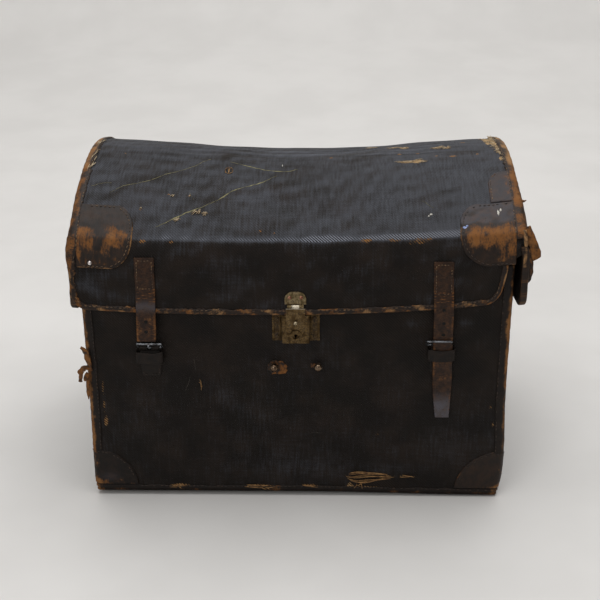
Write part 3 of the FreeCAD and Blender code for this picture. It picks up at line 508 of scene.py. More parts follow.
def full_turn(count):
    """Angles spaced evenly round a full turn."""
    return np.linspace(0, 2 * math.pi, count, endpoint=False)


def yarns(name, strands, finish, body):
    """Loose yarn: tapered round strands along lines of points, each with its girth."""
    points, faces, count = [], [], 0
    around = full_turn(6)[:, None]
    for line, girth in strands:
        ahead = np.gradient(line, axis=0)
        side = unit(np.cross(ahead, (0.31, -0.23, 0.92)))
        up = unit(np.cross(side, ahead))
        steps = np.arange(len(line))
        taper = np.clip(np.minimum(steps, steps[::-1]) * 0.35 + 0.25, 0, 1) * girth / 2
        ring = np.cos(around) * side[:, None] + np.sin(around) * up[:, None]
        points.append((line[:, None] + taper[:, None, None] * ring).reshape(-1, 3))
        faces += bar_faces(len(line), 6, count)
        count += 6 * len(line)
    return piece(name, np.concatenate(points), faces, finish, body)


def front_place(x, z, out):
    """A point on the base's front by its x, height and stand."""
    return on_base(x + base_half_x - BASE_CORNER, z, out)


def points_at(at, runs, line):
    """Points along a line at some of its runs."""
    return np.stack([np.interp(at, runs, line[:, k]) for k in range(line.shape[1])], -1)


FRAY_SHARES = (0.0, 0.07, 0.2, 0.5, 0.6, 0.82, 0.92, 1.0)
FRAY_TUFTS = ((-205, 19, 34, 4), (-72, 19, 44, 5), (-52, 18, 26, 3), (26, 19, 30, 4), (112, 23, 10, 2),
              (192, 43, 24, 2))
FRAY_ENDS = ((113, 30, 6, -12), (108, 27, -4, -9), (-62, 18, 13, -7), (-52, 17, 9, -4),
             (-206, 18, 8, -4), (-163, 230, 4, -17), (-161, 222, 2, -12))
BASE_SCORES = (((-171, 268), (-170, 258), (-169, 246)), ((-178, 236), (-181, 224), (-188, 206)),
               ((22, 124), (35, 126), (46, 124)))


def base_fray():
    """Yarn hanging over the torn place at the foot, in tufts along the edge, and as loose ends."""
    draw = np.random.default_rng(17)
    strands = []
    for order, share in enumerate(FRAY_SHARES):
        left = 88 + 10 * abs(share - 0.5) + draw.uniform(0, 5)
        right = 176 - 14 * abs(share - 0.55) - draw.uniform(0, 9)
        x = np.linspace(left, right, 26)
        t = (x - 88) / 88
        top = 43 + 7.5 * np.sin(math.pi * t ** 0.7)
        low = 41 - 13 * np.sin(math.pi * t ** 0.6) * (1 - 0.35 * t)
        wander = 1.3 * np.sin(t * draw.uniform(8, 15) + order) * draw.uniform(0.4, 1)
        out = 0.9 + 1.3 * np.sin(math.pi * t) * draw.uniform(0.2, 1)
        girth = draw.uniform(0.7, 1.3) + 0.7 * (share in (0, 1))
        strands.append((front_place(x, low + share * (top - low) + wander, out), girth))
    for at, z, length, count in FRAY_TUFTS:
        for _ in range(count):
            middle = at + draw.uniform(-0.3, 0.3) * length
            x = middle + np.linspace(-0.5, 0.5, 9) * length * draw.uniform(0.4, 0.9)
            height = z + draw.uniform(-3, 3.5) + np.linspace(-1, 1, 9) * draw.uniform(-1.8, 1.8)
            strands.append((front_place(x, np.maximum(height, 13), 1.2), draw.uniform(0.9, 1.8)))
    t = np.linspace(0, 1, 8)
    for x, z, dx, dz in FRAY_ENDS:
        height = np.maximum(z + dz * t, 12.5)
        strands.append((front_place(x + dx * t + np.sin(t * 5), height, 1.5 + 2.5 * t), 1.2))
    yarns("base_fray", strands, tan_fibre, "base")


def base_scores():
    """Thin scores in the wax."""
    draw = np.random.default_rng(19)
    t = np.linspace(0, 1, 12)
    lines = [points_at(t, np.linspace(0, 1, len(line)), np.array(line, float)) for line in BASE_SCORES]
    scores = [(front_place(line[:, 0], line[:, 1], 0.1), draw.uniform(0.4, 0.65)) for line in lines]
    grey_score = fibre_finish("grey_score", (0.022, 0.019, 0.016, 1), (0.075, 0.064, 0.05, 1))
    yarns("base_scores", scores, grey_score, "base")


base_fray()
base_scores()

# Base lining: plain cotton pasted to the inside of the walls and floor, with a little slack and
# brown age spots. A cotton tape is folded over the top of the walls to hide the raw board.


COTTON_FOXED = (0.16, 0.085, 0.035, 1)


def cotton_finish(name, light, stain):
    """Plain cotton with a fine square weave, browned in clouds and spotted with age."""
    made, wire, place = begin(name)
    cloth = wire.carried("cloth", "Vector")
    weave = cloth.part(0).wave(1.5) + cloth.part(1).wave(1.5)
    age = place.noise(110, 6)
    foxing = place.noise(16, 5, 0.7).between(0.6, 0.72)
    tone = age.between(0.35, 0.75).mix(light, stain)
    close(wire, {"Base Color": (foxing * 0.55).mix(tone, COTTON_FOXED), "Roughness": 0.85 + weave * 0.03},
          weave * 0.5 + place.noise(6) * 1.5, 0.3)
    return made


lining_cotton = cotton_finish("lining_cotton", (0.5, 0.43, 0.32, 1), (0.33, 0.26, 0.17, 1))
tape_cotton = cotton_finish("tape_cotton", (0.2, 0.15, 0.1, 1), (0.1, 0.07, 0.045, 1))
LINED_WALL = 10.8


def base_lining_patches():
    """The cotton inside the walls, a little puckered, and the cotton on the floor."""
    half_x, half_y, floor = base_half_x - LINED_WALL, base_half_y - LINED_WALL, base_bottom + LINED_WALL
    places, outward, runs = outline(half_x, half_y, 4.0, 7.0)
    places, outward = places[::-1], outward[::-1]
    top = np.where(places[:, 1] > half_y - 2, base_top - REAR_DROP, base_top)
    rise = np.linspace(0, 1, 60)[:, None]
    z = floor + rise * (top - floor)
    run = runs[:-1] + 0 * z
    pucker = 0.5 * uneven(run, z, 45, 21) * ease(rise * 8) * ease((1 - rise) * 8) - 0.2
    sides = np.stack([*(places[:, k] - outward[:, k] * pucker for k in (0, 1)), z], -1)
    ys, xs = np.meshgrid(np.linspace(4 - half_y, half_y - 4, 60), np.linspace(4 - half_x, half_x - 4, 90),
                         indexing="ij")
    floor_z = floor + 0.4 + 0.5 * uneven(xs, ys, 60, 22)
    return [patch(base_lean(sides), (run, z), wrap=True),
            patch(base_lean(np.stack([xs, ys, floor_z], -1)), (xs, ys))]


surface("base_inside", base_lining_patches(), lining_cotton, "base",
        replaces=("base_lining",))


TAPE_FOLD = np.array([(0.5, -2.4), (0.9, -1.6), (1.0, 0.4), (0.0, 1.5), (-5.4, 1.7), (-10.6, 1.5),
                      (-11.5, 0.4), (-11.5, -4), (-11.2, -9)])


def tape_patch(first, last, count, top):
    """Tape folded over a wall's top along part of the outline."""
    out, up = TAPE_FOLD[:, :1], TAPE_FOLD[:, 1:]
    run = np.linspace(first, last, count) + 0 * out
    points = on_base(run, base_top - 1, out)
    points[..., 2] = top + up + 0.3 * uneven(run, up * 5, 30, 23)
    return patch(points, (run, up))


back_start = front_run + corner_arc + side_run - 9
back_end = back_start + (front_run + 2 * corner_arc + 18)
surface("rim_tape_cloth",
        [tape_patch(back_end, back_start + base_length, 320, base_top),
         tape_patch(back_start + 12, back_end - 12, 160, base_top - REAR_DROP)],
        tape_cotton, "base", replaces=("rim_tape",))

# Leather edges of the base: strips of brown hide wetted, folded over each corner and the bottom
# edge and sewn through the board with waxed thread. They are worn to orange along the fold,
# and quarter-round patches are sewn over the bottom corners.

LEATHER_DARK = (0.0125, 0.0088, 0.0072, 1)
LEATHER_BROWN = (0.028, 0.0152, 0.0092, 1)
LEATHER_ORANGE = (0.175, 0.070, 0.0185, 1)
LEATHER_TAN = (0.27, 0.15, 0.065, 1)
# Grey tones of old hide: a dull haze that stands for painted sheen where the grey channel is laid on thick,
# as over the right front cap's top.
LEATHER_BLOOM_AND_SHEEN = (0.038, 0.0345, 0.0395, 1)
LEATHER_HAZE_AND_SHEEN = (0.054, 0.037, 0.034, 1)
# Black for painted shade in holes.
HOLE_SHADE = (0.0012, 0.001, 0.0008, 1)


def leather_finish(name, dark, brown, shine=0.42, scale=1.0, crossed=1.0, depth=0.3,
                   haze_and_sheen_tones=(LEATHER_BLOOM_AND_SHEEN, LEATHER_HAZE_AND_SHEEN)):
    """Old hide: fine grain and creases, rubbed through to orange and tan, with a dull grey haze that is
    painted sheen where it is laid on thick.
    Its spots grow with scale, its creases lie along the run or across it, and holes and sewn grooves get
    painted shade in black."""
    made, wire, _ = begin(name)
    cloth, paint = wire.carried("cloth", "Vector"), wire.carried("paint", "Color")
    worn, bloom_and_painted_light, pale = (paint.tint(channel) for channel in range(3))
    cloud = cloth.noise(17 * scale, 5)
    scuff = cloth.noise(4.2 * scale, 6, 0.72)
    grain = cloth.cells(1.1)
    crease = cloth.scaled(1 / crossed, 0.35 * crossed, 1).noise(3.2 * scale, 4)
    rub = worn + (scuff - 0.5) * 1.2 + (cloud - 0.5) * 0.8 + (crease - 0.5) * 1.2 - 0.5
    rub = rub.between(-0.14, 0.62)
    deep = (cloud * 0.6 + crease * 0.4).between(0.36, 0.66).mix(dark, brown)
    # The dull grey, of dust and of painted sheen, laid on by the grey channel.
    dull = (cloud * 0.7 + scuff * 0.3).between(0.42, 0.6).mix(*haze_and_sheen_tones)
    skin = (bloom_and_painted_light + (scuff - 0.5) * 0.5).between(0.1, 1.0).mix(deep, dull)
    bare = (pale + (cloud - 0.5) * 1.1).between(0.1, 0.9).mix(LEATHER_ORANGE, LEATHER_TAN)
    cracks = crease.between(0.6, 0.68) * 0.6
    tone = cracks.mix(rub.mix(skin, bare), dark)
    # Painted shade: where the grey channel goes below zero the hide is painted black, for holes and sewn
    # grooves.
    tone = (bloom_and_painted_light * -1).between(0.35, 0.8).mix(tone, HOLE_SHADE)
    close(wire, {"Base Color": tone, "Roughness": shine + scuff * 0.2 + rub * 0.25,
                 "Specular IOR Level": 0.2},
          grain * 0.5 + crease * 0.7 + scuff * 0.5 - rub * 0.4, depth)
    return made


binding_leather = leather_finish("binding_leather", LEATHER_DARK, LEATHER_BROWN)
edge_leather = leather_finish("edge_leather", LEATHER_DARK, LEATHER_BROWN, scale=0.55)
blackened_leather = leather_finish("blackened_leather", (0.0066, 0.0048, 0.0040, 1),
                                   (0.0155, 0.0096, 0.0068, 1), 0.5)


def leather(name, place, a, b, lift, worn, finish, body, bloom_and_painted_light=0.0, pale=0.3, replaces=(), seed=0,
            rough=0.35):
    """A sewn piece of hide: a grid of two runs laid on a surface, its cut edges turned down to it."""
    shape = np.ones(a.shape)
    for row, share in ((0, 0.0), (1, 0.8), (-1, 0.0), (-2, 0.8)):
        shape[row] = np.minimum(shape[row], share)
        shape[:, row] = np.minimum(shape[:, row], share)
    out = 0.15 + lift * shape + rough * uneven(a, b, 14, seed) * (shape == 1)
    return surface(name, [patch(place(a, b, out), (a, b), (worn, bloom_and_painted_light, pale))], finish, body,
                   replaces=replaces)


def laid(low, high, step, trim=0.7):
    """Runs across a piece of hide, with two close to each cut edge."""
    count = max(int((high - low) / step), 3)
    return np.concatenate([[low, low + trim], np.linspace(low + 2 * trim, high - 2 * trim, count),
                           [high - trim, high]])


def frayed(run, seed, depth):
    """How far a cut edge has frayed back along its run."""
    return depth * (0.5 * uneven(run, 0, 26, seed) + 0.5 * uneven(run, 0, 7, seed + 1))


def base_corner(name, seed):
    """A strip of hide folded round an upright corner."""
    middle = CORNER_RUNS[name]
    top = base_top - (2.5 if name.startswith("front") else 44)
    z = laid(base_bottom + 74.9, top, 4.0)[:, None]
    share = laid(-1, 1, 0.11, 0.035)[None, :]
    run = middle + share * (14.0 + frayed(z, seed, 1.6))
    z = z + 0 * run
    fold = np.exp(-((run - middle) / 4.2) ** 2)
    worn = (0.85 + 0.4 * uneven(z, 0, 60, seed + 2)) * fold + 0.22 * uneven(run, z, 20, seed + 3) - 0.1
    worn = worn + 0.2 * ease((np.abs(share) - 0.85) / 0.1)
    if name == "front_right":
        worn = worn + 0.55 * spot(run, z, (middle - 3, 334), (9, 16))
        worn = worn + 0.4 * spot(run, z, (middle, 290), (4, 50))
    if name == "front_left":
        worn = worn + 0.3 * np.exp(-((run - middle - 2) / 5) ** 2)
    leather("corner_strip_" + name, on_base, run, z, 1.7, worn, blackened_leather, "base", pale=0.35,
            replaces=("corner_binding_" + name,), seed=seed)


for order, corner in enumerate(CORNER_RUNS):
    base_corner(corner, 40 + 10 * order)


BOTTOM_FOLD = np.array([(-13, 0.2), (-12.4, 1.6), (-6, 1.9), (-1.5, 1.9), (1.5, 1.9), (4, 1.7), (6.5, 1.5),
                        (8.6, 1.0), (9.4, 0.1)])


def bottom_strip():
    """The strip folded round the bottom edge, torn back in places."""
    run = np.linspace(0, base_length, 560, endpoint=False)[None, :]
    torn = frayed(run, 90, 1.6) + 2.5 * ease(3 * uneven(run, 0, 75, 92) - 1.2)
    rows = []
    for up, out in BOTTOM_FOLD:
        if up >= 0:
            rows.append(on_base(run, base_bottom + np.maximum(up - torn * up / 12, 0.3), out))
        else:
            inner = on_base(run, base_bottom + 0.2, up + BASE_ROLL)
            inner[..., 2] -= out + 0.2
            rows.append(inner)
    up = BOTTOM_FOLD[:, :1]
    worn = 0.02 + 0.4 * uneven(run, up, 42, 93) + 0.2 * (np.abs(up) < 3)
    for corner in ("front_left", "front_right"):
        away = np.mod(run - CORNER_RUNS[corner] + 90, base_length) - 90
        worn = worn + 0.6 * np.exp(-(away / 16) ** 2)
    strip = patch(np.concatenate(rows, 0), (run, up), (worn, 0, 0.3), wrap=True)
    surface("bottom_strip", [strip], blackened_leather, "base",
            replaces=("bottom_binding",))


bottom_strip()


def bottom_corner(name, seed):
    """A quarter-round patch folded round a bottom corner."""
    reach, middle = 70.0, CORNER_RUNS[name]
    turn = laid(-math.pi / 2, math.pi / 2, 0.09, 0.015)[None, :]
    share = laid(0, 1, 0.07, 0.012)[:, None]
    run = middle + (reach + 3) * np.sin(turn) + 0 * share
    height = np.maximum(reach * np.cos(turn) * (1 + 0.03 * uneven(turn * 40, 0, 20, seed)), 1.0)
    z = base_bottom + 11.5 + share * height
    worn = (0.02 + 0.3 * np.exp(-(z - base_bottom - 11) / 9) + 0.25 * uneven(run, z, 30, seed)
            + 0.75 * np.exp(-((run - middle) / 4.5) ** 2) + 0.3 * ease((share - 0.9) / 0.06))
    worn = worn + 0.75 * spot(run, z, (middle, base_bottom + 10), (20, 9))
    if name == "front_left":
        worn = worn + 0.42 * spot(run, z, (middle + 24, base_bottom + 20), (24, 5))
    leather("bottom_corner_" + name, on_base, run, z, 1.9, worn,
            binding_leather if name == "front_right" else blackened_leather, "base",
            bloom_and_painted_light=0.06 + 0.5 * spot(run, z, (middle + 24, base_bottom + 27), (22, 12)),
            replaces=("bottom_patch_" + name,), seed=seed)


for order, corner in enumerate(CORNER_RUNS):
    bottom_corner(corner, 140 + 10 * order)


def thread_finish(name, dark, light):
    """Waxed linen thread, dirty where it is worn."""
    made, wire, place = begin(name)
    tone = place.noise(9, 3).between(0.35, 0.7).mix(dark, light)
    close(wire, {"Base Color": tone, "Roughness": 0.55 + place.noise(1.0) * 0.2}, place.noise(0.5), 0.1)
    return made


waxed_thread = thread_finish("waxed_thread", (0.035, 0.02, 0.012, 1), (0.2, 0.12, 0.055, 1))
black_thread = thread_finish("black_thread", (0.008, 0.0055, 0.0045, 1), (0.055, 0.03, 0.016, 1))


STITCH_RUN = np.array([0.0, 0.2, 0.5, 0.8, 1.0])
STITCH_GIRTH = np.array([0.45, 0.9, 1.0, 0.9, 0.45])
STITCH_RISE = np.array([-0.25, 0.3, 0.45, 0.3, -0.25])


def sewn(name, rows, body, stitch=4.4, gap=2.6, girth=1.2, seed=0, lost=0.1, finish=waxed_thread):
    """Rows of short rounded stitches; each row is points on a surface and their outward directions."""
    draw = np.random.default_rng(seed)
    points, faces = [], []
    around = full_turn(6)[:, None]
    for line, facing in rows:
        run = run_along(line)
        starts = np.arange(gap, run[-1] - stitch, stitch + gap)
        starts = starts[draw.random(len(starts)) > lost]
        for start in starts + draw.uniform(-0.4, 0.4, len(starts)):
            middle = points_at(start + STITCH_RUN * stitch, run, line)
            up = unit(points_at(start + stitch / 2, run, facing))
            side = np.cross(unit(middle[-1] - middle[0]), up)
            middle = middle + np.outer(STITCH_RISE * girth, up) + side * draw.uniform(-0.3, 0.3)
            ring = (np.cos(around) * side + np.sin(around) * up) * girth / 2
            faces += bar_faces(5, 6, 30 * len(points))
            points.append((middle[:, None] + STITCH_GIRTH[:, None, None] * ring).reshape(-1, 3))
    return piece(name, np.concatenate(points), faces, finish, body)


def seam(place, a, b, out):
    """A row for sewn(): points at a height over a surface, and which way is out."""
    line = place(a, b, out)
    return line, place(a, b, out + 1) - line


def base_seams():
    """Rows down both sides of each corner strip, round its patch and along the bottom strip."""
    rows = []
    for name, at in CORNER_RUNS.items():
        z = np.linspace(base_bottom + 80, base_top - (16 if name.startswith("front") else 58), 90)
        for side in (-1, 1):
            rows.append(seam(on_base, at + side * 12.3 + 0 * z, z, 2.0))
        turn = np.linspace(-1.35, 1.35, 60)
        rows.append(seam(on_base, at + 69 * np.sin(turn), base_bottom + 12 + 66.5 * np.cos(turn), 2.2))
    rows.append(seam(on_base, np.linspace(70, base_length - 70, 500), base_bottom + 8.5, 1.7))
    return rows


sewn("base_stitches", base_seams(), "base", seed=7, lost=0.2, finish=black_thread)


def shred(path, width, facing, seed, worn=0.85, pale=0.3, rag=0.16):
    """A torn strip of hide along a line of points, as a grid for surface()."""
    marks = np.arange(len(path))
    steps = np.linspace(0, len(path) - 1, 8 * (len(path) - 1) + 1)
    line = points_at(steps, marks, np.array(path, float))
    for _ in range(6):
        line[1:-1] = (line[:-2] + 2 * line[1:-1] + line[2:]) / 4
    facing = points_at(steps, marks, np.array(facing, float))[:, None]
    side = unit(np.cross(np.gradient(line, axis=0)[:, None], facing))
    share = np.linspace(-1, 1, 9)
    across = share * np.interp(steps, marks, width)[:, None] / 2
    run = run_along(line)[:, None]
    ragged = 1 + rag * uneven(run, share * 30, 9, seed) * (np.abs(share) > 0.9)
    crown = 1.2 * (1 - share ** 2) + 0.4 * uneven(run, share * 12, 10, seed)
    points = line[:, None] + side * (across * ragged)[..., None] + facing * crown[..., None]
    return patch(points, (across, run), (worn + 0.3 * uneven(across, run, 12, seed + 1), 0, pale))


AHEAD, TURNED = (0.0, -1.0, 0.05), (-0.5, -0.75, 0.2)
BASE_CURLS = (
    (((-345, -238, 247), (-346, -240, 260), (-347, -241, 272), (-349, -241, 281), (-352, -239, 287),
      (-358, -237, 291)), (7, 9, 10, 10, 8, 5),
     (AHEAD, TURNED, AHEAD, TURNED, AHEAD, AHEAD), 801, 0.85, 0.2),
    (((-346, -238, 252), (-352, -242, 255), (-357, -243, 253), (-361, -241, 247), (-362, -239, 238),
      (-364, -237, 226)), (8, 9, 10, 10, 9, 6),
     (AHEAD, TURNED, TURNED, AHEAD, TURNED, AHEAD), 802, 0.9, 0.15),
    (((-349, -238, 244), (-352, -241, 240), (-354, -241, 234), (-356, -239, 229)), (7, 8, 7, 4),
     (AHEAD, TURNED, AHEAD, AHEAD), 803, 0.8, 0.2),
    (((-350, -237, 236), (-351.5, -239, 222), (-352, -239, 208), (-352, -238, 194)), (6, 7, 6, 2),
     (AHEAD, TURNED, AHEAD, AHEAD), 804, 0.9, 0.2))
surface("torn_curls", [shred(*curl) for curl in BASE_CURLS], binding_leather, "base", 1.4)

# Lock and hasp: a stamped brass plate with a raised case, a keyhole ring and corner rivets clenched
# inside, holding a steel bolt and its flat spring. A plate riveted to the lid carries the hinged flap
# with its ball knob. The brass is dull, and brown in its corners.


# A pale painted highlight for the rolled knuckle of the hasp flap.
BRASS_KNUCKLE_HIGHLIGHT = (0.7, 0.63, 0.5, 1)


def brass_finish(name, dull, bright, tarnish, rough=0.34, highlight_above=None, hollow=None):
    """Old plated metal: bright where it is touched, brown in its hollows, finely scratched.
    A hollow is the inner and outer edge of a sunk strip on each side of the middle. Above a given height the
    metal is painted with a pale highlight for the light that a hinge knuckle catches."""
    made, wire, place = begin(name)
    cloud = place.noise(8, 5)
    fleck = place.noise(1.5, 5, 0.7)
    scratch = place.scaled(1, 1, 0.08).noise(0.7, 3)
    tone = cloud.between(0.4, 0.6).mix(dull, bright)
    grime = cloud * 0.5 + fleck
    if hollow:
        inner, outer = hollow
        reach = place.part(0) * place.part(0)
        sunk = reach.between((inner * MM) ** 2, ((inner + 1.5) * MM) ** 2)
        sunk = sunk * (1 - reach.between(((outer - 1.5) * MM) ** 2, (outer * MM) ** 2))
        grime = grime + sunk * 0.08
    dirt = grime.between(0.7, 0.95)
    # A painted highlight: above the given height the knuckle is painted pale for the light it catches.
    if highlight_above:
        rubbed_and_sheen = place.part(2).between((highlight_above - 1.5) * MM, highlight_above * MM)
        tone = rubbed_and_sheen.mix(tone, BRASS_KNUCKLE_HIGHLIGHT)
    close(wire, {"Base Color": dirt.mix(tone, tarnish), "Metallic": 0.95 - dirt * 0.6,
                 "Roughness": rough + fleck * 0.18 + dirt * 0.25 + scratch * 0.08},
          scratch * 0.4 + fleck * 0.6 + cloud, 0.12)
    return made


aged_brass = brass_finish("aged_brass", (0.05, 0.03, 0.0115, 1), (0.165, 0.105, 0.042, 1),
                          (0.016, 0.009, 0.005, 1), hollow=(26.4, 35.6))
touched_brass = brass_finish("touched_brass", (0.18, 0.138, 0.078, 1), (0.4, 0.325, 0.2, 1),
                             (0.05, 0.032, 0.016, 1), 0.26)
copper_brass = brass_finish("copper_brass", (0.2, 0.085, 0.05, 1), (0.45, 0.22, 0.14, 1),
                            (0.03, 0.014, 0.01, 1), 0.2)
# The hasp flap's knuckle, above 367.5 mm, carries a painted highlight.
hasp_brass = brass_finish("hasp_brass", (0.07, 0.043, 0.018, 1), (0.19, 0.125, 0.054, 1),
                          (0.02, 0.012, 0.006, 1), 0.28, highlight_above=367.5)
mottled_brass = brass_finish("mottled_brass", (0.095, 0.068, 0.031, 1), (0.285, 0.215, 0.115, 1),
                             (0.03, 0.019, 0.009, 1), 0.28)
knob_brass = brass_finish("knob_brass", (0.2, 0.155, 0.09, 1), (0.5, 0.42, 0.28, 1),
                          (0.05, 0.032, 0.016, 1), -0.03)
lock_steel = iron_finish("lock_steel", (0.22, 0.22, 0.23, 1), (0.45, 0.45, 0.46, 1), 0.2)
dress(aged_brass, "lock_plate", "keyhole_ring", soften=0.3)
dress(aged_brass, "lock_rivets")
dress(hasp_brass, "hasp_flap", soften=0.3)
dress(mottled_brass, "hasp_plate", soften=0.25)
dress(touched_brass, "hasp_pin", soften=0.25)
dress(knob_brass, "hasp_knob")
dress(copper_brass, "hasp_rivets")
dress(lock_steel, "lock_bolt", "bolt_spring", soften=0.2)

# Studs and tab: two ball-headed studs that once held a carrying handle, clenched through the wall.
# A torn stub of the handle's leather is still caught under the left one.

stud_metal = brass_finish("stud_metal", (0.09, 0.054, 0.032, 1), (0.27, 0.187, 0.122, 1),
                          (0.02, 0.011, 0.007, 1), -0.04)
dress(stud_metal, "stud_left", "stud_right")


def torn_tab():
    """What is left of the handle's end: a torn tongue under the left stud."""
    across = laid(-1, 1, 0.1, 0.05)[:, None]
    share = laid(0, 1, 0.06, 0.03)[None, :]
    right = (-15.5 - 9 * np.clip(across, 0, 1) ** 2 - 3 * np.clip(-across - 0.6, 0, 1)
             + 0.7 * np.sin(across * 9))
    left = -50 + 9 * np.abs(across) + 1.2 * np.sin(across * 7 + 1)
    x = left + share * (right - left)
    z = 253 + across * (13 - 1.5 * share) + 0.5 * np.sin(share * 8)
    worn = 0.35 + 0.6 * ease((share - 0.3) / 0.5) + 0.25 * uneven(x, z, 8, 31)
    worn = worn - 0.5 * spot(x, z, (-24, 260), (5, 4)) + 0.5 * ease((-across - 0.5) / 0.3)
    leather("torn_tab", front_place, x, z, 1.7, worn, binding_leather, "base", pale=0.05,
            replaces=("leather_tab",), seed=32, rough=0.3)


def torn_scrap():
    """A scrap of the other end, beside the right stud."""
    share = laid(0, 1, 0.12, 0.05)[None, :]
    across = laid(-1, 1, 0.2, 0.08)[:, None]
    x = 24 + share * (8 + 2 * np.sin(across * 6))
    z = 257 + across * 4 + share * 1.5 * np.sin(across * 4)
    leather("torn_scrap", front_place, x, z, 1.2, 0.75, binding_leather, "base", pale=0.0, seed=33, rough=0.2)


torn_tab()
torn_scrap()

# Buckle seats: for each strap a leather chape folded round the bar of an iron buckle and sewn to
# the front, and a leather keeper loop below it. The left buckle is empty since its strap broke.

STRAP_DARK, STRAP_BROWN = (0.0125, 0.0056, 0.0032, 1), (0.050, 0.0212, 0.0085, 1)
# The strap's greys: a dull haze, laid on mostly as painted sheen over the rim's crease and as a painted
# highlight at the right strap's tail.
STRAP_BLOOM_AND_SHEEN, STRAP_HAZE_AND_SHEEN = (0.078, 0.072, 0.083, 1), (0.066, 0.055, 0.055, 1)
strap_leather = leather_finish("strap_leather", STRAP_DARK, STRAP_BROWN, 0.34, 0.8, 2.6, 0.5,
                               (STRAP_BLOOM_AND_SHEEN, STRAP_HAZE_AND_SHEEN))
buckle_iron = iron_finish("buckle_iron", (0.05, 0.052, 0.056, 1), (0.24, 0.25, 0.27, 1), 0.26)
dress(buckle_iron, "buckle_left", "buckle_right", "prong_left", "prong_right")
STRAP_X = {"left": -241.5, "right": 234.5}
SEAT_X = {"left": -242.5, "right": 238.5}
BAR_Z = {"left": 293.14, "right": 299.14}
BAR_Y = -239.9


def band_rings(line, middle_x, width, thickness, crown=0.25):
    """Rounded flat sections along a line of y and z, facing outward to the left of its run."""
    line = np.asarray(line, float)
    ahead = unit(np.gradient(line, axis=0))
    facing = np.stack([ahead[:, 1], -ahead[:, 0]], -1)
    width = np.broadcast_to(width, len(line))
    half = thickness / 2
    flat = np.linspace(-1, 1, 9)
    ring = [(a, 0, 1, crown * (1 - a * a)) for a in flat]
    ring += [(1, math.cos(t), math.sin(t), 0) for t in (0.8, 0.0, -0.8)]
    ring += [(a, 0, -1, 0) for a in flat[::-1]]
    ring += [(-1, -math.cos(t), math.sin(t), 0) for t in (-0.8, 0.0, 0.8)]
    points = np.empty((len(line), len(ring), 3))
    for k, (a, side, up, extra) in enumerate(ring):
        points[:, k, 0] = middle_x + a * (width / 2 - half) + side * half
        points[:, k, 1:] = line + facing * (up * half + extra)
    return points, np.array([r[0] for r in ring]), np.array([r[2] for r in ring])


def band(name, lofts, finish, body, replaces, seed, paint_at):
    """Strips of hide lofted through rounded sections, with closed ends and edges rubbed paler.
    paint_at gives the wear, and the grey of dust and painted light, that are added at an x and a height."""
    patches = []
    for rings, across, up in lofts:
        run = run_along(rings[:, 0])[:, None]
        side = across * 16 + 40 * (up < 0)
        worn = 0.3 * ease((np.abs(across) - 0.9) / 0.1) + 0.25 * uneven(side, run, 26, seed) + 0.08
        more_worn, more_bloom_and_light = paint_at(rings[..., 0], rings[..., 2])
        paint = (worn + more_worn, 0.15 + more_bloom_and_light, 0.15)
        patches.append(patch(rings, (side, run), paint, ends=True))
    return surface(name, patches, finish, body, replaces=replaces)


def front_row(x, y, z):
    """A row for sewn() on a piece that faces the front."""
    line = np.stack(np.broadcast_arrays(x, y, z), -1)
    return line, np.tile([0.0, -1.0, 0.0], (len(line), 1))


def chape(side, seed):
    """The buckle's seat: a leg sewn to the front and two folds round the bar, beside the prong."""
    x, bar = SEAT_X[side], BAR_Z[side]
    sewn_y, seat = -base_half_y - 1.3, -base_half_y - 2.5 - 1.3
    leg = [(sewn_y, bar - 56.7), (sewn_y, bar - 50), (sewn_y, bar - 42), (-base_half_y - 1.5, bar - 36),
           (seat + 1, bar - 30), (seat, bar - 26), (seat, bar - 18), (seat, bar - 7.5)]
    turns = np.radians(np.arange(0, 291, 20))
    fold = [(seat, bar - 10), (seat, bar - 5)]
    fold += [(BAR_Y + 3.1 * math.cos(turn), bar + 3.1 * math.sin(turn)) for turn in turns]
    lofts = [band_rings(leg, x, (28, 33, 34, 34, 34, 34, 34, 34), 2.5)]
    lofts += [band_rings(fold, x + edge, 13.4, 2.4, 0.1) for edge in (-10.2, 10.2)]

    def paint_at(a, b):
        return 0.6 * spot(a, b, (x + 6, bar - 55), (9, 4)) - 0.2, -0.25

    band("chape_hide_" + side, lofts, blackened_leather, "base", ("chape_" + side,), seed, paint_at)
    face, foot = -base_half_y - 2.7, bar - 53
    rows = [front_row(x + edge, face, np.linspace(foot, bar - 40, 12)) for edge in (-13.5, 13.5)]
    rows.append(front_row(np.linspace(x - 12, x + 12, 12), face, foot))
    sewn("chape_stitches_" + side, rows, "base", 3.6, 1.8, 1.0, seed, 0.05, black_thread)


KEEPER_HALF, KEEPER_DEEP, KEEPER_Y = 22.5, 8.65, -241.65


def keeper_loop(side, seed):
    """A loop of hide for the strap's end, a little bellied in front."""
    x, bar = SEAT_X[side], BAR_Z[side]
    places, _, runs = outline(KEEPER_HALF, KEEPER_DEEP, 4.0, 3.0)
    rise = np.linspace(0, 1, 9)[:, None]
    front = ease((-places[:, 1] - 2) / 5)
    dip = places[:, 0] / KEEPER_HALF
    z = bar - 26 + 20 * rise + front * ((1 - 2 * dip ** 2) * -0.9 + 0.5 * np.sin(dip * 4 + seed))
    bulge = 0.5 * front * np.sin(rise * math.pi)
    points = np.stack([x + places[:, 0] + 0 * z, KEEPER_Y + places[:, 1] - bulge, z], -1)
    worn = 0.3 * ease((rise - 0.9) / 0.08) + 0.2 * uneven(places[:, 0], z, 12, seed) - 0.15
    loop = patch(points, (runs[:-1], z), (worn, -0.1, 0.2), wrap=True)
    surface("keeper_loop_" + side, [loop], blackened_leather, "base", 2.1,
            ("keeper_" + side,))


for side, seed in (("left", 60), ("right", 61)):
    chape(side, seed)
    keeper_loop(side, seed)

# Hinges: three iron strap hinges at the back, each two leaves rolled round a pin and riveted through
# base and lid, with the leaves' edges rubbed.

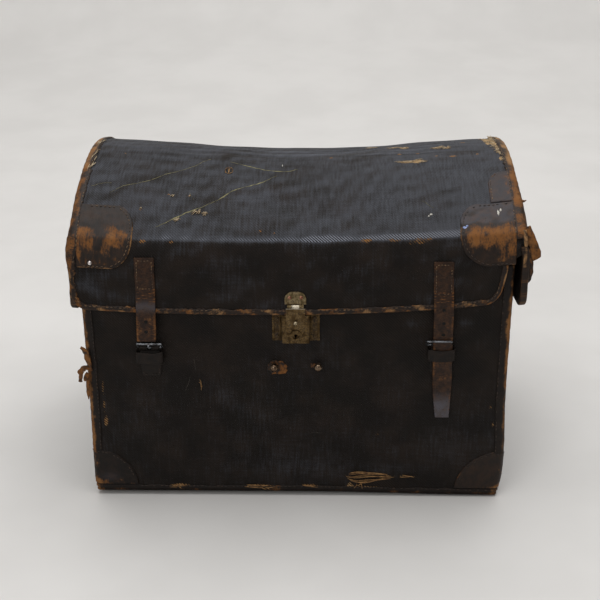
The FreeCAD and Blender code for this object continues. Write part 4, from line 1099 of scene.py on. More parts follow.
dress(iron_finish("hinge_iron", (0.022, 0.021, 0.021, 1), (0.085, 0.083, 0.082, 1), 0.42),
      "hinge_leaves_base", "hinge_leaves_lid", "hinge_pins", soften=0.3)
dress(copper_brass, "hinge_rivets_base", "hinge_rivets_lid")

# Lid cover: the same waxed twill drawn over a domed plaited core, down over the front as a flap and
# over both ends. It has sagged along its length, is scratched and rubbed grey on top, with painted
# sheen from the lamp above laid into that grey, and its ribs over the front bend carry painted
# highlights with painted shade between them.

lid_low, lid_high = (np.array(corner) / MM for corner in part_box("lid_canvas"))
LID_HALF, LID_FRONT, LID_BACK, LID_RIM = lid_high[0], lid_low[1], lid_high[1], lid_low[2]
LID_MIDDLE = (LID_FRONT + LID_BACK) / 2
LID_WALL = 8.1
DOME_RADIUS, DOME_CENTRE, SAG_AXIS = 370.0, 181.0, 5240.7
CREST_RADIUS, CREST_LEAN, BELLY_LEAN = 8.0, math.radians(52.9), math.radians(24.0)
CREST_Y, CREST_Z = ((DOME_RADIUS - CREST_RADIUS) * f(CREST_LEAN) for f in (math.cos, math.sin))
CREST_Z += DOME_CENTRE
BELLY_RADIUS = ((LID_BACK - LID_FRONT) / 2 - CREST_Y - CREST_RADIUS * math.cos(BELLY_LEAN)) / (
    1 - math.cos(BELLY_LEAN))
WALL_TOP = CREST_Z - (BELLY_RADIUS - CREST_RADIUS) * math.sin(BELLY_LEAN)
FRONT_WALL = WALL_TOP - LID_RIM
BELLY_S = FRONT_WALL + BELLY_RADIUS * BELLY_LEAN
CREST_S = BELLY_S + CREST_RADIUS * (CREST_LEAN - BELLY_LEAN)
LID_CROWN = CREST_S + DOME_RADIUS * (math.pi / 2 - CREST_LEAN)
SLIT_S, FLAP_CORNER = 70.0, 24
LID_END_S = 2 * LID_CROWN - FRONT_WALL + WALL_TOP - 400.64


def lid_profile(s):
    """The lid's section by its run from the front edge: y, z and the outward direction.
    The wall leans back in a belly, turns sharply at a crest and goes on as the dome."""
    t = LID_CROWN - np.abs(s - LID_CROWN)
    back = np.where(s <= LID_CROWN, 1.0, -1.0)
    lean = (np.clip((t - FRONT_WALL) / BELLY_RADIUS, 0, BELLY_LEAN)
            + np.clip((t - BELLY_S) / CREST_RADIUS, 0, CREST_LEAN - BELLY_LEAN)
            + np.clip((t - CREST_S) / DOME_RADIUS, 0, None))
    where = [t <= BELLY_S, t <= CREST_S]
    belly_y = (LID_BACK - LID_FRONT) / 2 - BELLY_RADIUS
    y = np.select(where, [-belly_y - BELLY_RADIUS * np.cos(lean), -CREST_Y - CREST_RADIUS * np.cos(lean)],
                  -DOME_RADIUS * np.cos(lean))
    z = np.select(where, [WALL_TOP + BELLY_RADIUS * np.sin(lean) + np.minimum(t - FRONT_WALL, 0),
                          CREST_Z + CREST_RADIUS * np.sin(lean)],
                  DOME_CENTRE + DOME_RADIUS * np.sin(lean))
    return LID_MIDDLE + y * back, z, -np.cos(lean) * back, np.sin(lean)


def settle(x, y, z):
    """The lid as it has sagged along its length and racked up at its right end."""
    z = SAG_AXIS - np.sqrt((SAG_AXIS - z) ** 2 - x ** 2)
    t = np.clip((LID_BACK - y) / (LID_BACK - LID_FRONT), 0, 1.1)
    near_end = np.where(x < 0, 6.5, 4.0) * (1 - np.exp(-(x / 150) ** 2))
    raised = near_end * ease((y + 120) / 160) * ease((z - 470) / 40)
    return np.stack(np.broadcast_arrays(x, y, z + raised + 4.0 * x / LID_HALF * t ** 1.4), -1)


def lid_ridges(x, s):
    """Long low ridges along the crown, where the plait shows through."""
    return (0.7 * np.sin(2 * math.pi * (s + 0.05 * x) / 24) * spot(x, s, (-70, 385), (230, 55))
            + 0.5 * np.sin(2 * math.pi * (s - 0.06 * x) / 19) * spot(x, s, (140, 400), (150, 50)))


def lid_swell(x, s):
    """How far the lid's cloth stands out or has sunk in."""
    calm = ease((LID_HALF - 14 - np.abs(x)) / 50) * ease((s - 104) / 50) * ease((LID_END_S - 70 - s) / 60)
    swell = 1.7 * uneven(x, s, 170, 61) + 0.9 * uneven(x, s, 70, 62)
    wall = 0.9 * uneven(x, s, 130, 63) * ease((s - 8) / 30) * ease((108 - s) / 20)
    held = ease((np.abs(x) - 40) / 40) * ease((np.abs(np.abs(x) - 238) - 22) / 30)
    loose = wall * held * ease((LID_HALF - 10 - np.abs(x)) / 40)
    return (swell + lid_ridges(x, s) - 0.6) * calm + loose


def rim_drop(x, s):
    """How the front flap's lower edge has risen to the right and dropped to the left."""
    return ease((95 - s) / 95) * (np.where(x > 0, 5.0, -1.0) * (x / LID_HALF) ** 2 - 1.5)


def flap_pull(x, s):
    """The front flap has torn along its right slit and drawn in to the left."""
    return -(25.0 * ease((86 - s) / 16) + 9.0 * ease((SLIT_S - s) / SLIT_S)) * ease((x - 225) / 137)


def on_lid(x, s, out, pull=1.0):
    """A point over the lid's front, dome or back: x, run from the front edge, and stand."""
    y, z, ny, nz = lid_profile(s)
    stand = out + lid_swell(x, s)
    sink = 1.6 * ease((SLIT_S - s) / SLIT_S) * ease((np.abs(x) - 250) / 112)
    return settle(x + pull * flap_pull(x, s), y + ny * stand + sink, z + nz * stand + rim_drop(x, s))


def edge_round(s):
    """How roundly the cover turns over from dome to end; the front flap's edge is nearly square."""
    return 3.0 + 7.0 * ease((s - SLIT_S) / 45) * ease((LID_END_S - 20 - s) / 60)


def lid_splay(side, y, z):
    """How far an end flap stands away from the base."""
    low = np.clip((427 - z) / 57, 0, 1.2)
    if side < 0:
        return 3.0 * low ** 1.3 * ease((60 - y) / 300) + left_bulge(y, z)
    return (7.5 * ease((474 - z) / 45) + 0.5 * low) * ease((LID_FRONT + 170 - y) / 165)


def left_bulge(y, z):
    """How far the left end has swollen beside its front cap."""
    return 4.5 * np.exp(-((z - 452) / 26) ** 2) * ease((LID_FRONT + 50 - y) / 45)


def on_lid_turn(side, s, turn, out):
    """A point on the rounded edge between the dome and an end, by the angle turned."""
    r = edge_round(s)
    y, z, ny, nz = lid_profile(s)
    x = LID_HALF - r + (r + out) * np.sin(turn)
    if side < 0:
        x = x + left_bulge(y, z) * np.sin(turn)
    stand = -r + (r + out) * np.cos(turn) + lid_swell(LID_HALF, s)
    sink = 1.6 * ease((SLIT_S - s) / SLIT_S)
    return settle(side * x + flap_pull(side * x, s), y + ny * stand + sink,
                  z + nz * stand + rim_drop(side * LID_HALF, s))


def on_end(side, y, z, out):
    """A point on an end of the lid."""
    drop = (9.0 if side < 0 else 10.0) * ease((440 - z) / 80) * ease((120 - y) / 300)
    return settle(side * (LID_HALF + out + lid_splay(side, y, z)), y, z - drop)


def corner_rise(inset):
    """How far a flap's lower edge rises in its rounded corner."""
    return FLAP_CORNER - np.sqrt(FLAP_CORNER ** 2 - np.clip(inset, 0, FLAP_CORNER) ** 2)


def flap_start(x):
    """Where the front flap's lower edge lies, with its rounded corners."""
    return corner_rise(np.abs(x) - (LID_HALF - FLAP_CORNER))


LID_BARE = (((130, 418), (14, 6)), ((166, 400), (13, 6)), ((186, 394), (11, 8)), ((244, 379), (15, 7)),
            ((260, 374), (10, 7)), ((184, 316), (18, 5)), ((206, 317), (15, 9)))
LID_SPOTS = (((176, 353), (4, 3), .7), ((208, 355), (5, 3), .6),
             ((238, 334), (5, 3), .65), ((266, 328), (7, 3), .6), ((290, 406), (6, 4), .8),
             ((308, 334), (4, 4), .65), ((58, 344), (4, 3), .7), ((236, 346), (3, 3), .6),
             ((70, 120), (44, 4), .33), ((115, 121), (12, 6), .42), ((152, 119), (20, 5), .38),
             ((205, 119), (36, 4.5), .42), ((196, 112), (26, 4), .35), ((-100, 119), (60, 4), .22),
             ((-210, 220), (4, 3), .7), ((-176, 219), (3, 4), .6), ((-252, 182), (3, 4), .6),
             ((-56, 141), (4, 4), .6), ((-244, 118), (7, 5), .62), ((-198, 118), (6, 4), .5),
             ((-34, 136), (3, 3), .55), ((-300, 345), (4, 3), .8), ((-262, 139), (3, 3), .5))
# Painted shade in folds of the cloth as three dark slanted streaks, and one spot of painted sheen low on the
# left of the front flap.
LID_FOLD_SHADE_AND_SHEEN = (((-492, 222), (9, 26), -.5, -.9), ((-124, 352), (9, 20), -.5),
              ((112, 230), (14, 34), -.35, .6), ((-312, 38), (18, 24), .28, .5))


def lid_paint(x, s):
    """How worn, grey and pale the cover is, by its x and its run from the front edge. The grey is dust on the
    wax, with painted sheen on the dome, painted highlights along the crest and the crown's ridges, painted
    shade in folds and a painted sheen spot low on the front's left.
    """
    worn = 0.3 * np.exp(-s / 5) + 0.3 * ease((np.abs(x) - 335) / 20) * ease((s - 100) / 60)
    worn = worn + hills(x, s, LID_SPOTS) + 0.12 * uneven(x, s, 60, 65) * ease((s - 150) / 100)
    # Painted sheen on the dome: above the crest the cloth is painted grey, partly dust and partly the sheen
    # of the lamp above, with more of it to the right.
    bloom_and_painted_light = 0.06 + (0.57 + 0.2 * ease((x - 40) / 200)) * ease((s - CREST_S + 4) / 5)
    bloom_and_painted_light = np.minimum(bloom_and_painted_light + 0.2 * uneven(x, s, 120, 66) + 0.2 * uneven(x, s, 30, 67), 0.88)
    # A painted highlight along the crest, weaker on the left half.
    crest = np.exp(-((s - CREST_S - 2) / np.where(s < CREST_S + 2, 6, 7)) ** 2)
    bloom_and_painted_light = bloom_and_painted_light + crest * (0.3 + 0.62 * ease((x + 190) / 260) + 0.25 * uneven(x, s, 60, 68))
    # Near the crown the cloth is lighter above a fold line, and a thin line of painted shade runs along the
    # fold.
    fold = s - 350 - 5 * uneven(x, 0, 130, 64)
    above_fold = 0.12 + 0.14 * spot(x, 0, (5, 0), (125, 1))
    bloom_and_painted_light = bloom_and_painted_light + above_fold * ease(fold / 6) * ease((430 - s) / 40)
    bloom_and_painted_light = bloom_and_painted_light - np.exp(-(fold / 4) ** 2) * (0.12 + 0.14 * uneven(x, s, 50, 69))
    # Painted highlights on the crests of the crown's ridges, then the painted fold shade and sheen.
    bloom_and_painted_light = bloom_and_painted_light + 0.2 * lid_ridges(x, s) + hills(x, s, LID_FOLD_SHADE_AND_SHEEN)
    bare = ease((x - 322 - 0.19 * (430 - s) + 6 * uneven(x, s, 24, 73) + 3 * uneven(x, s, 7, 74)) / 6)
    bare = bare * ease((s - 284 + 6 * uneven(x, s, 16, 75)) / 14) * ease((442 - s) / 12)
    for at, size in LID_BARE:
        bare = np.maximum(bare, 0.72 * spot(x, s, at, size))
    return worn + 0.9 * bare, bloom_and_painted_light, 0.3 * ease((s - 150) / 40) - 0.1 + 1.05 * bare


def under_dome(y, count, wall=None):
    """The height of the dome's section over a y, a wall in from its outside or where its turn ends."""
    s = np.linspace(FRONT_WALL, 2 * LID_CROWN - FRONT_WALL, count)
    inset = edge_round(s) if wall is None else wall
    top_y, top_z, ny, nz = lid_profile(s)
    return np.interp(y, top_y - inset * ny, top_z - inset * nz)


def end_grid(y, low, high, count, flip):
    """Runs over an end of the lid between two heights, flipped so that it faces the right way."""
    z = low + np.linspace(0, 1, count)[:, None] * (high - low)
    y = y + 0 * z
    return (y[:, ::-1], z[:, ::-1]) if flip else (y, z)


def lid_cover():
    """The cloth over front, dome and back with its turns to the ends, and the cloth of both ends."""
    rise = np.linspace(0, 1, 236)[:, None]
    turns = np.radians([15, 30, 45, 60, 75, 90])
    x = np.broadcast_to(np.linspace(-LID_HALF + 10, LID_HALF - 10, 236), (236, 236))
    s = flap_start(x) + rise * (LID_END_S - flap_start(x))
    columns, runs = {0: on_lid(x, s, 0)}, {0: np.stack([x, s], -1)}
    for side in (-1, 1):
        strip, run = [], []
        for turn in turns[::side]:
            edge_x = LID_HALF - edge_round(s[:, :1]) * (1 - math.sin(turn))
            first = flap_start(edge_x)
            at = first + rise * (LID_END_S - first)
            strip.append(on_lid_turn(side, at, turn, 0))
            run.append(np.stack([side * (edge_x + 6 * turn), at], -1))
        columns[side], runs[side] = np.concatenate(strip, 1), np.concatenate(run, 1)
    points, cloth = (np.concatenate([part[side] for side in (-1, 0, 1)], 1) for part in (columns, runs))
    patches = [patch(points, cloth, lid_paint(cloth[..., 0], cloth[..., 1]))]
    for side in (-1, 1):
        y = np.linspace(LID_FRONT + 3, LID_BACK - 3, 150)
        low = LID_RIM + corner_rise(LID_FRONT + 27 - y)
        y, z = end_grid(y, low, under_dome(y, 220), 80, side < 0)
        worn = 0.3 * np.exp(-(z - low.min()) / 6) + 0.25 * np.maximum(0, uneven(y, z, 60, 70 + side))
        bloom_and_painted_light = 0.3 + 0.15 * uneven(y, z, 120, 72)
        patches.append(patch(on_end(side, y, z, 0), (side * y, z), (worn, bloom_and_painted_light, 0.4)))
    return patches


surface("lid_cover", lid_cover(), black_canvas, "lid",
        replaces=("lid_canvas", "lid_core"))

# Wear on the lid: scrapes scored through the wax, fibres pulled out of the cloth, most of them over
# the bare right end, and one small hole with its broken threads.

scored_cloth = fibre_finish("scored_cloth", (0.075, 0.068, 0.03, 1), (0.25, 0.225, 0.10, 1))
pale_fibre = fibre_finish("pale_fibre", (0.2, 0.14, 0.08, 1), (0.5, 0.4, 0.26, 1))
SCRATCHES = (
    (0.8, ((-226, 146), (-220, 149), (-196, 165), (-174, 180), (-154, 190), (-124, 211), (-106, 232),
           (-80, 246), (-60, 257), (-34, 280))),
    (0.7, ((-116, 325), (-86, 312), (-54, 298), (-22, 292), (-6, 295), (2, 300))),
    (0.34, ((-306, 216), (-288, 234), (-264, 243), (-242, 256), (-224, 274), (-200, 288), (-176, 306),
            (-164, 322), (-150, 334))),
    (0.24, ((-340, 230), (-322, 240), (-306, 242))),
    (0.3, ((206, 200), (214, 190), (222, 182))),
    (0.4, ((-176, 226), (-172, 216), (-168, 208))))


def lid_scratches():
    """Scrapes scored through the wax, as low ridges of roughened cloth."""
    share = np.array([-1.0, -0.3, 0.3, 1.0])[:, None]
    height = np.array([0.02, 0.45, 0.4, 0.02])[:, None]
    strips = []
    for order, (strong, line) in enumerate(SCRATCHES):
        line = np.array(line, float)
        run = run_along(line)
        at = np.arange(0, run[-1], 1.8)
        x, s = (np.interp(at, run, line[:, k]) + 0.7 * uneven(at, 0, 12, 300 + 10 * order + k)
                for k in (0, 1))
        ahead = unit(np.stack([np.gradient(x), np.gradient(s)], -1))
        taper = np.minimum(1, np.minimum(at, run[-1] - at) / 45 + 0.15)
        half = np.clip(strong * (1.05 + 0.75 * uneven(at, 0, 30, 305 + order)) * taper, 0.16, 1.7)
        strips.append(patch(on_lid(x - share * half * ahead[:, 1], s + share * half * ahead[:, 0], height)))
    surface("lid_scratches", strips, scored_cloth, "lid")


FIBRE_TUFTS = ((-160, 179, 10, 4, 10), (-148, 174, 6, 6, 8), (-195, 163, 9, 3, 6), (-205, 217, 5, 1.5, 4),
               (-176, 218, 1.5, 4, 2), (-252, 182, 2, 4, 2))


def lid_fibres(draw):
    """Fibres pulled out of the cloth: in tufts, over the bare right end, and along both ends."""
    strands = []

    def strand(x, s, out, girth):
        strands.append((on_lid(x, s, out), girth))

    t = np.linspace(-0.5, 0.5, 8)
    for x0, s0, wide, high, count in FIBRE_TUFTS:
        for _ in range(count):
            turn = draw.uniform(-0.5, 1.2)
            length = draw.uniform(0.6, 1.3) * wide
            x = x0 + draw.uniform(-0.6, 0.6) * wide + t * length * math.cos(turn)
            s = s0 + draw.uniform(-0.6, 0.6) * high + t * length * math.sin(turn) + 1.2 * np.sin(t * 6)
            strand(x, s, 0.4 + draw.uniform(0.2, 1.8) * np.cos(t * math.pi), draw.uniform(0.7, 1.5))
    t = np.linspace(-0.5, 0.5, 7)
    for _ in range(70):
        s0 = draw.uniform(288, 432)
        x0 = draw.uniform(323 + 0.19 * (430 - s0), 353)
        turn = draw.choice((-0.9, 0.75)) + draw.uniform(-0.25, 0.25)
        length = draw.uniform(8, 20)
        strand(np.minimum(x0 + t * length * math.cos(turn), 352), s0 + t * length * math.sin(turn),
               0.4 + draw.uniform(0, 1.2) * np.cos(t * math.pi), draw.uniform(0.8, 1.6))
    for (x0, s0), (wide, high) in LID_BARE:
        for _ in range(9):
            x = x0 + draw.uniform(-0.7, 0.7) * wide + t * wide * draw.uniform(0.3, 1.1)
            s = s0 + draw.uniform(-0.8, 0.8) * high + t * draw.uniform(-4, 4)
            strand(x, s, 0.5 + 0.5 * np.cos(t * math.pi), draw.uniform(0.5, 1.3))
    t = np.linspace(0, 1, 7)
    for _ in range(9):
        x0, s0 = draw.uniform(340, 352), draw.uniform(405, 445)
        strand(x0 + draw.uniform(-9, 4) * t, s0 + draw.uniform(2, 14) * t, 0.5 + draw.uniform(2, 6) * t,
               draw.uniform(0.7, 1.3))
    t = np.linspace(-0.5, 0.5, 8)
    for _ in range(16):
        x0, s0 = draw.uniform(-353, -344), draw.uniform(270, 420)
        strand(x0 + draw.uniform(-3, 4) * t + np.sin(t * 5), s0 + draw.uniform(10, 30) * t,
               2.2 + 0.8 * np.cos(t * 3), draw.uniform(0.8, 1.7))
    yarns("lid_fibres", strands, pale_fibre, "lid")


HOLE_AT, HOLE_SIZE = (-116.0, 294.0), (6.4, 10)


def frayed_hole(draw):
    """A small hole worn through the cover, drawn as a shallow pit painted black for the shade inside it, with
    broken threads round it and two across it.
    """

    def place(away, turn, out):
        return on_lid(HOLE_AT[0] + HOLE_SIZE[0] * away * np.cos(turn),
                      HOLE_AT[1] + HOLE_SIZE[1] * away * np.sin(turn), out)

    turn = full_turn(40)
    ragged = 1 + 0.32 * uneven(np.cos(turn) * 20, np.sin(turn) * 20, 11, 331)
    share = np.array([1.0, 0.93, 0.5, 0.02])[:, None]
    pit = place(share * ragged, turn, np.array([0.02, 0.4, 0.4, 0.4])[:, None])
    # The pit is painted black as painted shade, not cut through.
    surface("frayed_hole", [patch(pit, (0, 0), (-1, -1, 0), wrap=True)], binding_leather, "lid")
    threads = []
    t = np.linspace(0, 1, 6)
    for at in turn + draw.uniform(-0.1, 0.1, 40):
        away = 1.06 + draw.uniform(-0.28, 0.12) * t
        bend = at + draw.uniform(-0.5, 0.5) * t
        threads.append((place(away, bend, 0.5 + draw.uniform(0.2, 1.0) * t), draw.uniform(0.7, 1.3)))
    t = np.linspace(-0.9, 0.9, 8)
    for lean in (-0.4, 0.3):
        x = HOLE_AT[0] + 2 * lean + 3 * t * lean
        threads.append((on_lid(x, HOLE_AT[1] + 10 * t, 0.7 + 0.3 * t), 1.1))
    yarns("hole_threads", threads, tan_fibre, "lid")


lid_draw = np.random.default_rng(23)
lid_scratches()
lid_fibres(lid_draw)
frayed_hole(lid_draw)

# Lid lining: the same cotton pasted inside the dome and the ends and turned over the back edge.
# Below it the canvas is turned in over the flaps' inner faces.


def lid_lining():
    """Cotton pasted inside the dome and the ends, turned over the back edge."""
    x = np.linspace(-LID_HALF + LID_WALL, LID_HALF - LID_WALL, 120)[None, :]
    s = np.concatenate([[LID_END_S + 0.1, LID_END_S + 0.6, LID_END_S + 0.1],
                        np.linspace(LID_END_S, 92, 150)])[:, None]
    out = np.concatenate([[-0.2, -4, -LID_WALL], np.full(150, -LID_WALL)])[:, None]
    slack = 0.5 * uneven(x, s, 50, 75) * ease((LID_END_S - 5 - s) / 20) - 0.2
    patches = [patch(on_lid(x, s, out + slack), (x, s))]
    for side in (-1, 1):
        y = np.linspace(LID_FRONT + LID_WALL, LID_BACK - LID_WALL, 90)
        high = under_dome(y, 160, LID_WALL)
        y, z = end_grid(y, np.minimum(446.0, high - 2), high, 60, side > 0)
        slack = 0.4 * uneven(y, z, 50, 77 + side)
        patches.append(patch(on_end(side, y, z, slack - LID_WALL), (y, z)))
    return patches


surface("lid_inside", lid_lining(), lining_cotton, "lid", replaces=("lid_lining",))


def flap_facing():
    """The canvas turned in over the flaps' inner faces, up to where the lining starts."""
    x = np.linspace(-LID_HALF + 2, LID_HALF - 2, 120)[None, :]
    first = flap_start(x) + 1.5
    s = first + np.linspace(1, 0, 26)[:, None] * (96 - first)
    patches = [patch(on_lid(x, s, -LID_WALL - 0.1), (x, s))]
    for side in (-1, 1):
        y = np.linspace(LID_FRONT + 3, LID_BACK - LID_WALL, 90)
        y, z = end_grid(y, 358.5 + corner_rise(LID_FRONT + 27 - y), 450, 24, side > 0)
        patches.append(patch(on_end(side, y, z, -LID_WALL - 0.1), (y, z)))
    return patches


surface("flap_facing", flap_facing(), black_canvas, "lid")

# Lid edges: hide folded over the flaps' lower edges and over the turn from dome to end, sewn through
# with waxed thread. The strip at the right end is rubbed to tan and has torn loose near the front.


FLAP_FOLD = np.array([(1.0, 0.1), (0.94, 1.5), (0.7, 1.9), (0.4, 2.0), (0.08, 2.0), (-0.1, 1.3),
                      (-0.16, -0.5), (-0.16, -LID_WALL + 0.5), (-0.05, -LID_WALL - 0.8),
                      (0.3, -LID_WALL - 1.1), (0.7, -LID_WALL - 1.0), (0.94, -LID_WALL - 0.8),
                      (1.0, -LID_WALL - 0.1)])[::-1]


def folded_strip(place, path, inward, width, seed, worn):
    """A strip folded over an edge: path and inward directions in the surface's two runs."""
    share, out = FLAP_FOLD[:, :1], FLAP_FOLD[:, 1:]
    run = run_along(path)
    cut = frayed(run, seed, 2.2) + 3.0 * ease(2.5 * uneven(run, 0, 60, seed + 2) - 1.2)
    reach = share * width - np.where(share > 0.6, 1, 0) * cut
    a, b = (path[:, k] + inward[:, k] * reach for k in (0, 1))
    wave = 0.35 * uneven(run, reach, 16, seed + 3)
    points = place(a, b, out + wave * (np.abs(out - 1.9) < 0.5))
    slit = ease((a - 300) / 20) * ease((SLIT_S + 6 - b) / 10) * ease((b - 4) / 10)
    worn = worn + 0.5 * uneven(run, reach * 4, 30, seed + 4) + 0.25 * uneven(run, reach * 4, 11, seed + 5)
    worn = worn + 0.15 * (np.abs(share) < 0.15) + slit * np.where(share < 0.2, 0.5, -0.5)
    return patch(points, (run, reach), (worn, 0.1, 0.35 + 0.5 * uneven(run, reach, 40, seed + 6)))


def rounded_edge(first, low, last, step=4.0):
    """A path down one side of a flap, round its corners and up the other, with inward directions."""
    (x0, top0), (x1, top1) = first, last
    turns = [(math.cos(t), math.sin(t)) for t in np.linspace(0, math.pi / 2, 9)]
    floor = low + FLAP_CORNER
    path = [(x0, z) for z in np.arange(top0, floor, -step)]
    inward = [(1, 0)] * len(path)
    path += [(x0 + FLAP_CORNER * (1 - a), low + FLAP_CORNER * (1 - b)) for a, b in turns]
    inward += turns
    path += [(x, low) for x in np.linspace(x0, x1, int((x1 - x0) / step))[8:-8]]
    inward += [(0, 1)] * (len(path) - len(inward))
    path += [(x1 - FLAP_CORNER * (1 - a), low + FLAP_CORNER * (1 - b)) for a, b in turns[::-1]]
    inward += [(-a, b) for a, b in turns[::-1]]
    path += [(x1, z) for z in np.arange(floor, top1, step)]
    inward += [(-1, 0)] * (len(path) - len(inward))
    return np.array(path), np.array(inward)


def front_flap_edge():
    """The strip round the front flap's lower edge and up both its slits."""
    path, inward = rounded_edge((-LID_HALF, SLIT_S), 0.5, (LID_HALF, SLIT_S))
    surface("front_flap_edge", [folded_strip(on_lid, path, inward, 8.5, 200, 0.42)], edge_leather, "lid",
            replaces=("rim_binding_front",))
    line = (path + inward * 6.5)[8:-8]
    sewn("front_flap_stitches", [seam(on_lid, line[:, 0], line[:, 1], 2.0)], "lid", seed=210, lost=0.15)


STRIP_TOP = ((1.0, 0.1), (0.94, 1.5), (0.6, 1.9), (0.2, 2.0))
STRIP_TURN = np.radians([0, 18, 36, 54, 72, 90])
STRIP_END = ((2, 2.0), (5, 2.0), (8, 2.0), (9.4, 1.5), (10.2, 0.1))


def end_strip(side, name):
    """The strip folded over the turn from dome to end; the right one stands loose near the front."""
    s = np.linspace(SLIT_S - 3 if side < 0 else 110, LID_END_S - 2, 330)[None, :]
    cut = frayed(s, 240 + side, 2.5) + 4 * ease(2.5 * uneven(s, 0, 70, 245 + side) - 1.3)
    loose = 5.5 * ease((265 - s) / 150) if side > 0 else 0 * s
    base_y, base_z, ny, nz = lid_profile(s)
    points, reach = [], []

    def ripple(amount, out):
        return out + 0.3 * uneven(s, amount * 9, 16, 250 + side) * (out > 1.7)

    for share, out in STRIP_TOP:
        width = share * 6.5 - (cut if share > 0.8 else 0)
        points.append(on_lid(side * (LID_HALF - edge_round(s) - width), s, ripple(share, out)))
        reach.append(width + 0 * s)
    for turn in STRIP_TURN:
        points.append(on_lid_turn(side, s, turn, ripple(turn, 2.0) + loose * math.sin(turn)))
        reach.append(-10 * turn + 0 * s)
    for down, out in STRIP_END:
        drop = edge_round(s) + down - (cut if down > 9 else 0)
        points.append(on_end(side, base_y - ny * drop, base_z - nz * drop, ripple(down, out) + loose))
        reach.append(-16 - down + 0 * s)
    points, reach = (np.concatenate(rows, 0)[::-side] for rows in (points, reach))
    worn = (0.55 if side > 0 else 0.46) + 0.25 * np.exp(-((reach + 7) / 7) ** 2)
    worn = worn + 0.4 * uneven(s, reach * 2, 34, 255 + side) - 0.75 * ease((reach - 0.5) / 2.5)
    if side > 0:
        worn = worn + 0.3 * spot(s, reach, (380, 0), (80, 30))
    else:
        worn = worn + 0.25 * spot(s, reach, (350, 0), (110, 30))
    pale = 0.12 + (0.8 if side > 0 else 0.4) * ease((s - 250) / 70)
    surface("end_strip_" + name, [patch(points, (s, reach), (worn, 0.15, pale))], edge_leather, "lid",
            replaces=("end_binding_" + name,))


def end_edges(side, name):
    """The strips round one end's flap and over its turn, and their stitches."""

    def place(y, z, out):
        return on_end(side, y, z, out)

    path, inward = rounded_edge((LID_FRONT + 3, 427 if side < 0 else 455), 357.2, (LID_BACK - 3, 385.5))
    path, inward = path[::side], inward[::side]
    strip = folded_strip(place, path, inward, 8.0, 220 + side, 0.4 if side < 0 else 0.12)
    surface("end_flap_edge_" + name, [strip], edge_leather, "lid",
            replaces=("rim_binding_" + name,))
    end_strip(side, name)
    top = np.linspace(SLIT_S + 5 if side < 0 else 116, LID_END_S - 20, 300)
    low = (path + inward * 6.5)[12:-12]
    rows = [seam(on_lid, side * (LID_HALF - edge_round(top) - 3.6), top, 2.0),
            seam(place, low[:, 0], low[:, 1], 2.0)]
    sewn("end_stitches_" + name, rows, "lid", seed=230 + side, lost=0.2)


front_flap_edge()
end_edges(-1, "left")
end_edges(1, "right")


def right_tears():
    """Torn end strip: one tongue hangs out over the flap, one is still held by the cap."""
    ahead, out = (0.1, -1.0, 0.1), (0.45, -0.85, 0.2)
    curl = on_lid_turn(1, np.array([188.0]), 1.2, np.array([3.0]))[0]
    strips = [
        shred(((367, -224, 500), (371, -230, 487), (376, -234, 473), (381, -236, 459), (384, -236, 449)),
              (11, 14, 16, 17, 16), (out, ahead, ahead, ahead, out), 811, 0.9, 0.2, 0.05),
        shred(((362, -230, 496), (364, -239, 482), (365, -243, 466), (364, -244, 450), (364, -244, 438)),
              (6, 6.5, 6, 6, 5), (ahead, ahead, out, ahead, ahead), 812, 0.8, 0.75, 0.05),
        shred(((369, -228, 488), (372, -235, 466), (374, -238, 446), (374.5, -238, 428), (373, -237, 414),
               (371, -236, 408)), (7, 10, 11, 10, 8, 4), (ahead, ahead, out, ahead, ahead, ahead), 813, 0.5,
              0.2, 0.08),
        shred((curl, curl + (4, -1, 0), curl + (7, -2, 2)), (5, 4, 2), (ahead, ahead, ahead), 814, 0.9, 0.4)]
    surface("torn_end_strip", strips, binding_leather, "lid", 1.6)


right_tears()

# Corner caps: rounded pieces of thicker hide sewn over the front and back bends at each end, and one
# small patch sewn on later above the right cap. The front caps are rubbed orange along the bend; a
# nail was driven through the left one, and paint was spilt on the right one.


def rounded_sides(t, low, high, drop):
    """How far an edge is drawn in near both ends of a run, by elliptical corners (run, drop)."""
    cut = 0 * t
    for near, (run, depth) in ((t - low, drop[0]), (high - t, drop[1])):
        away = np.clip(1 - near / run, 0, 1)
        cut = cut + depth * (1 - np.sqrt(1 - away ** 2))
    return cut


CAP_TRIM = np.array([0, 0.3, 0.7, 1.2, 1.9, 2.8, 4, 5.5, 7.3, 9.5])


def over_slit(x, s, out):
    """A point over the lid where a cap bridges the flap's slit, so it isn't drawn in."""
    return on_lid(x, s, out, 0.0)


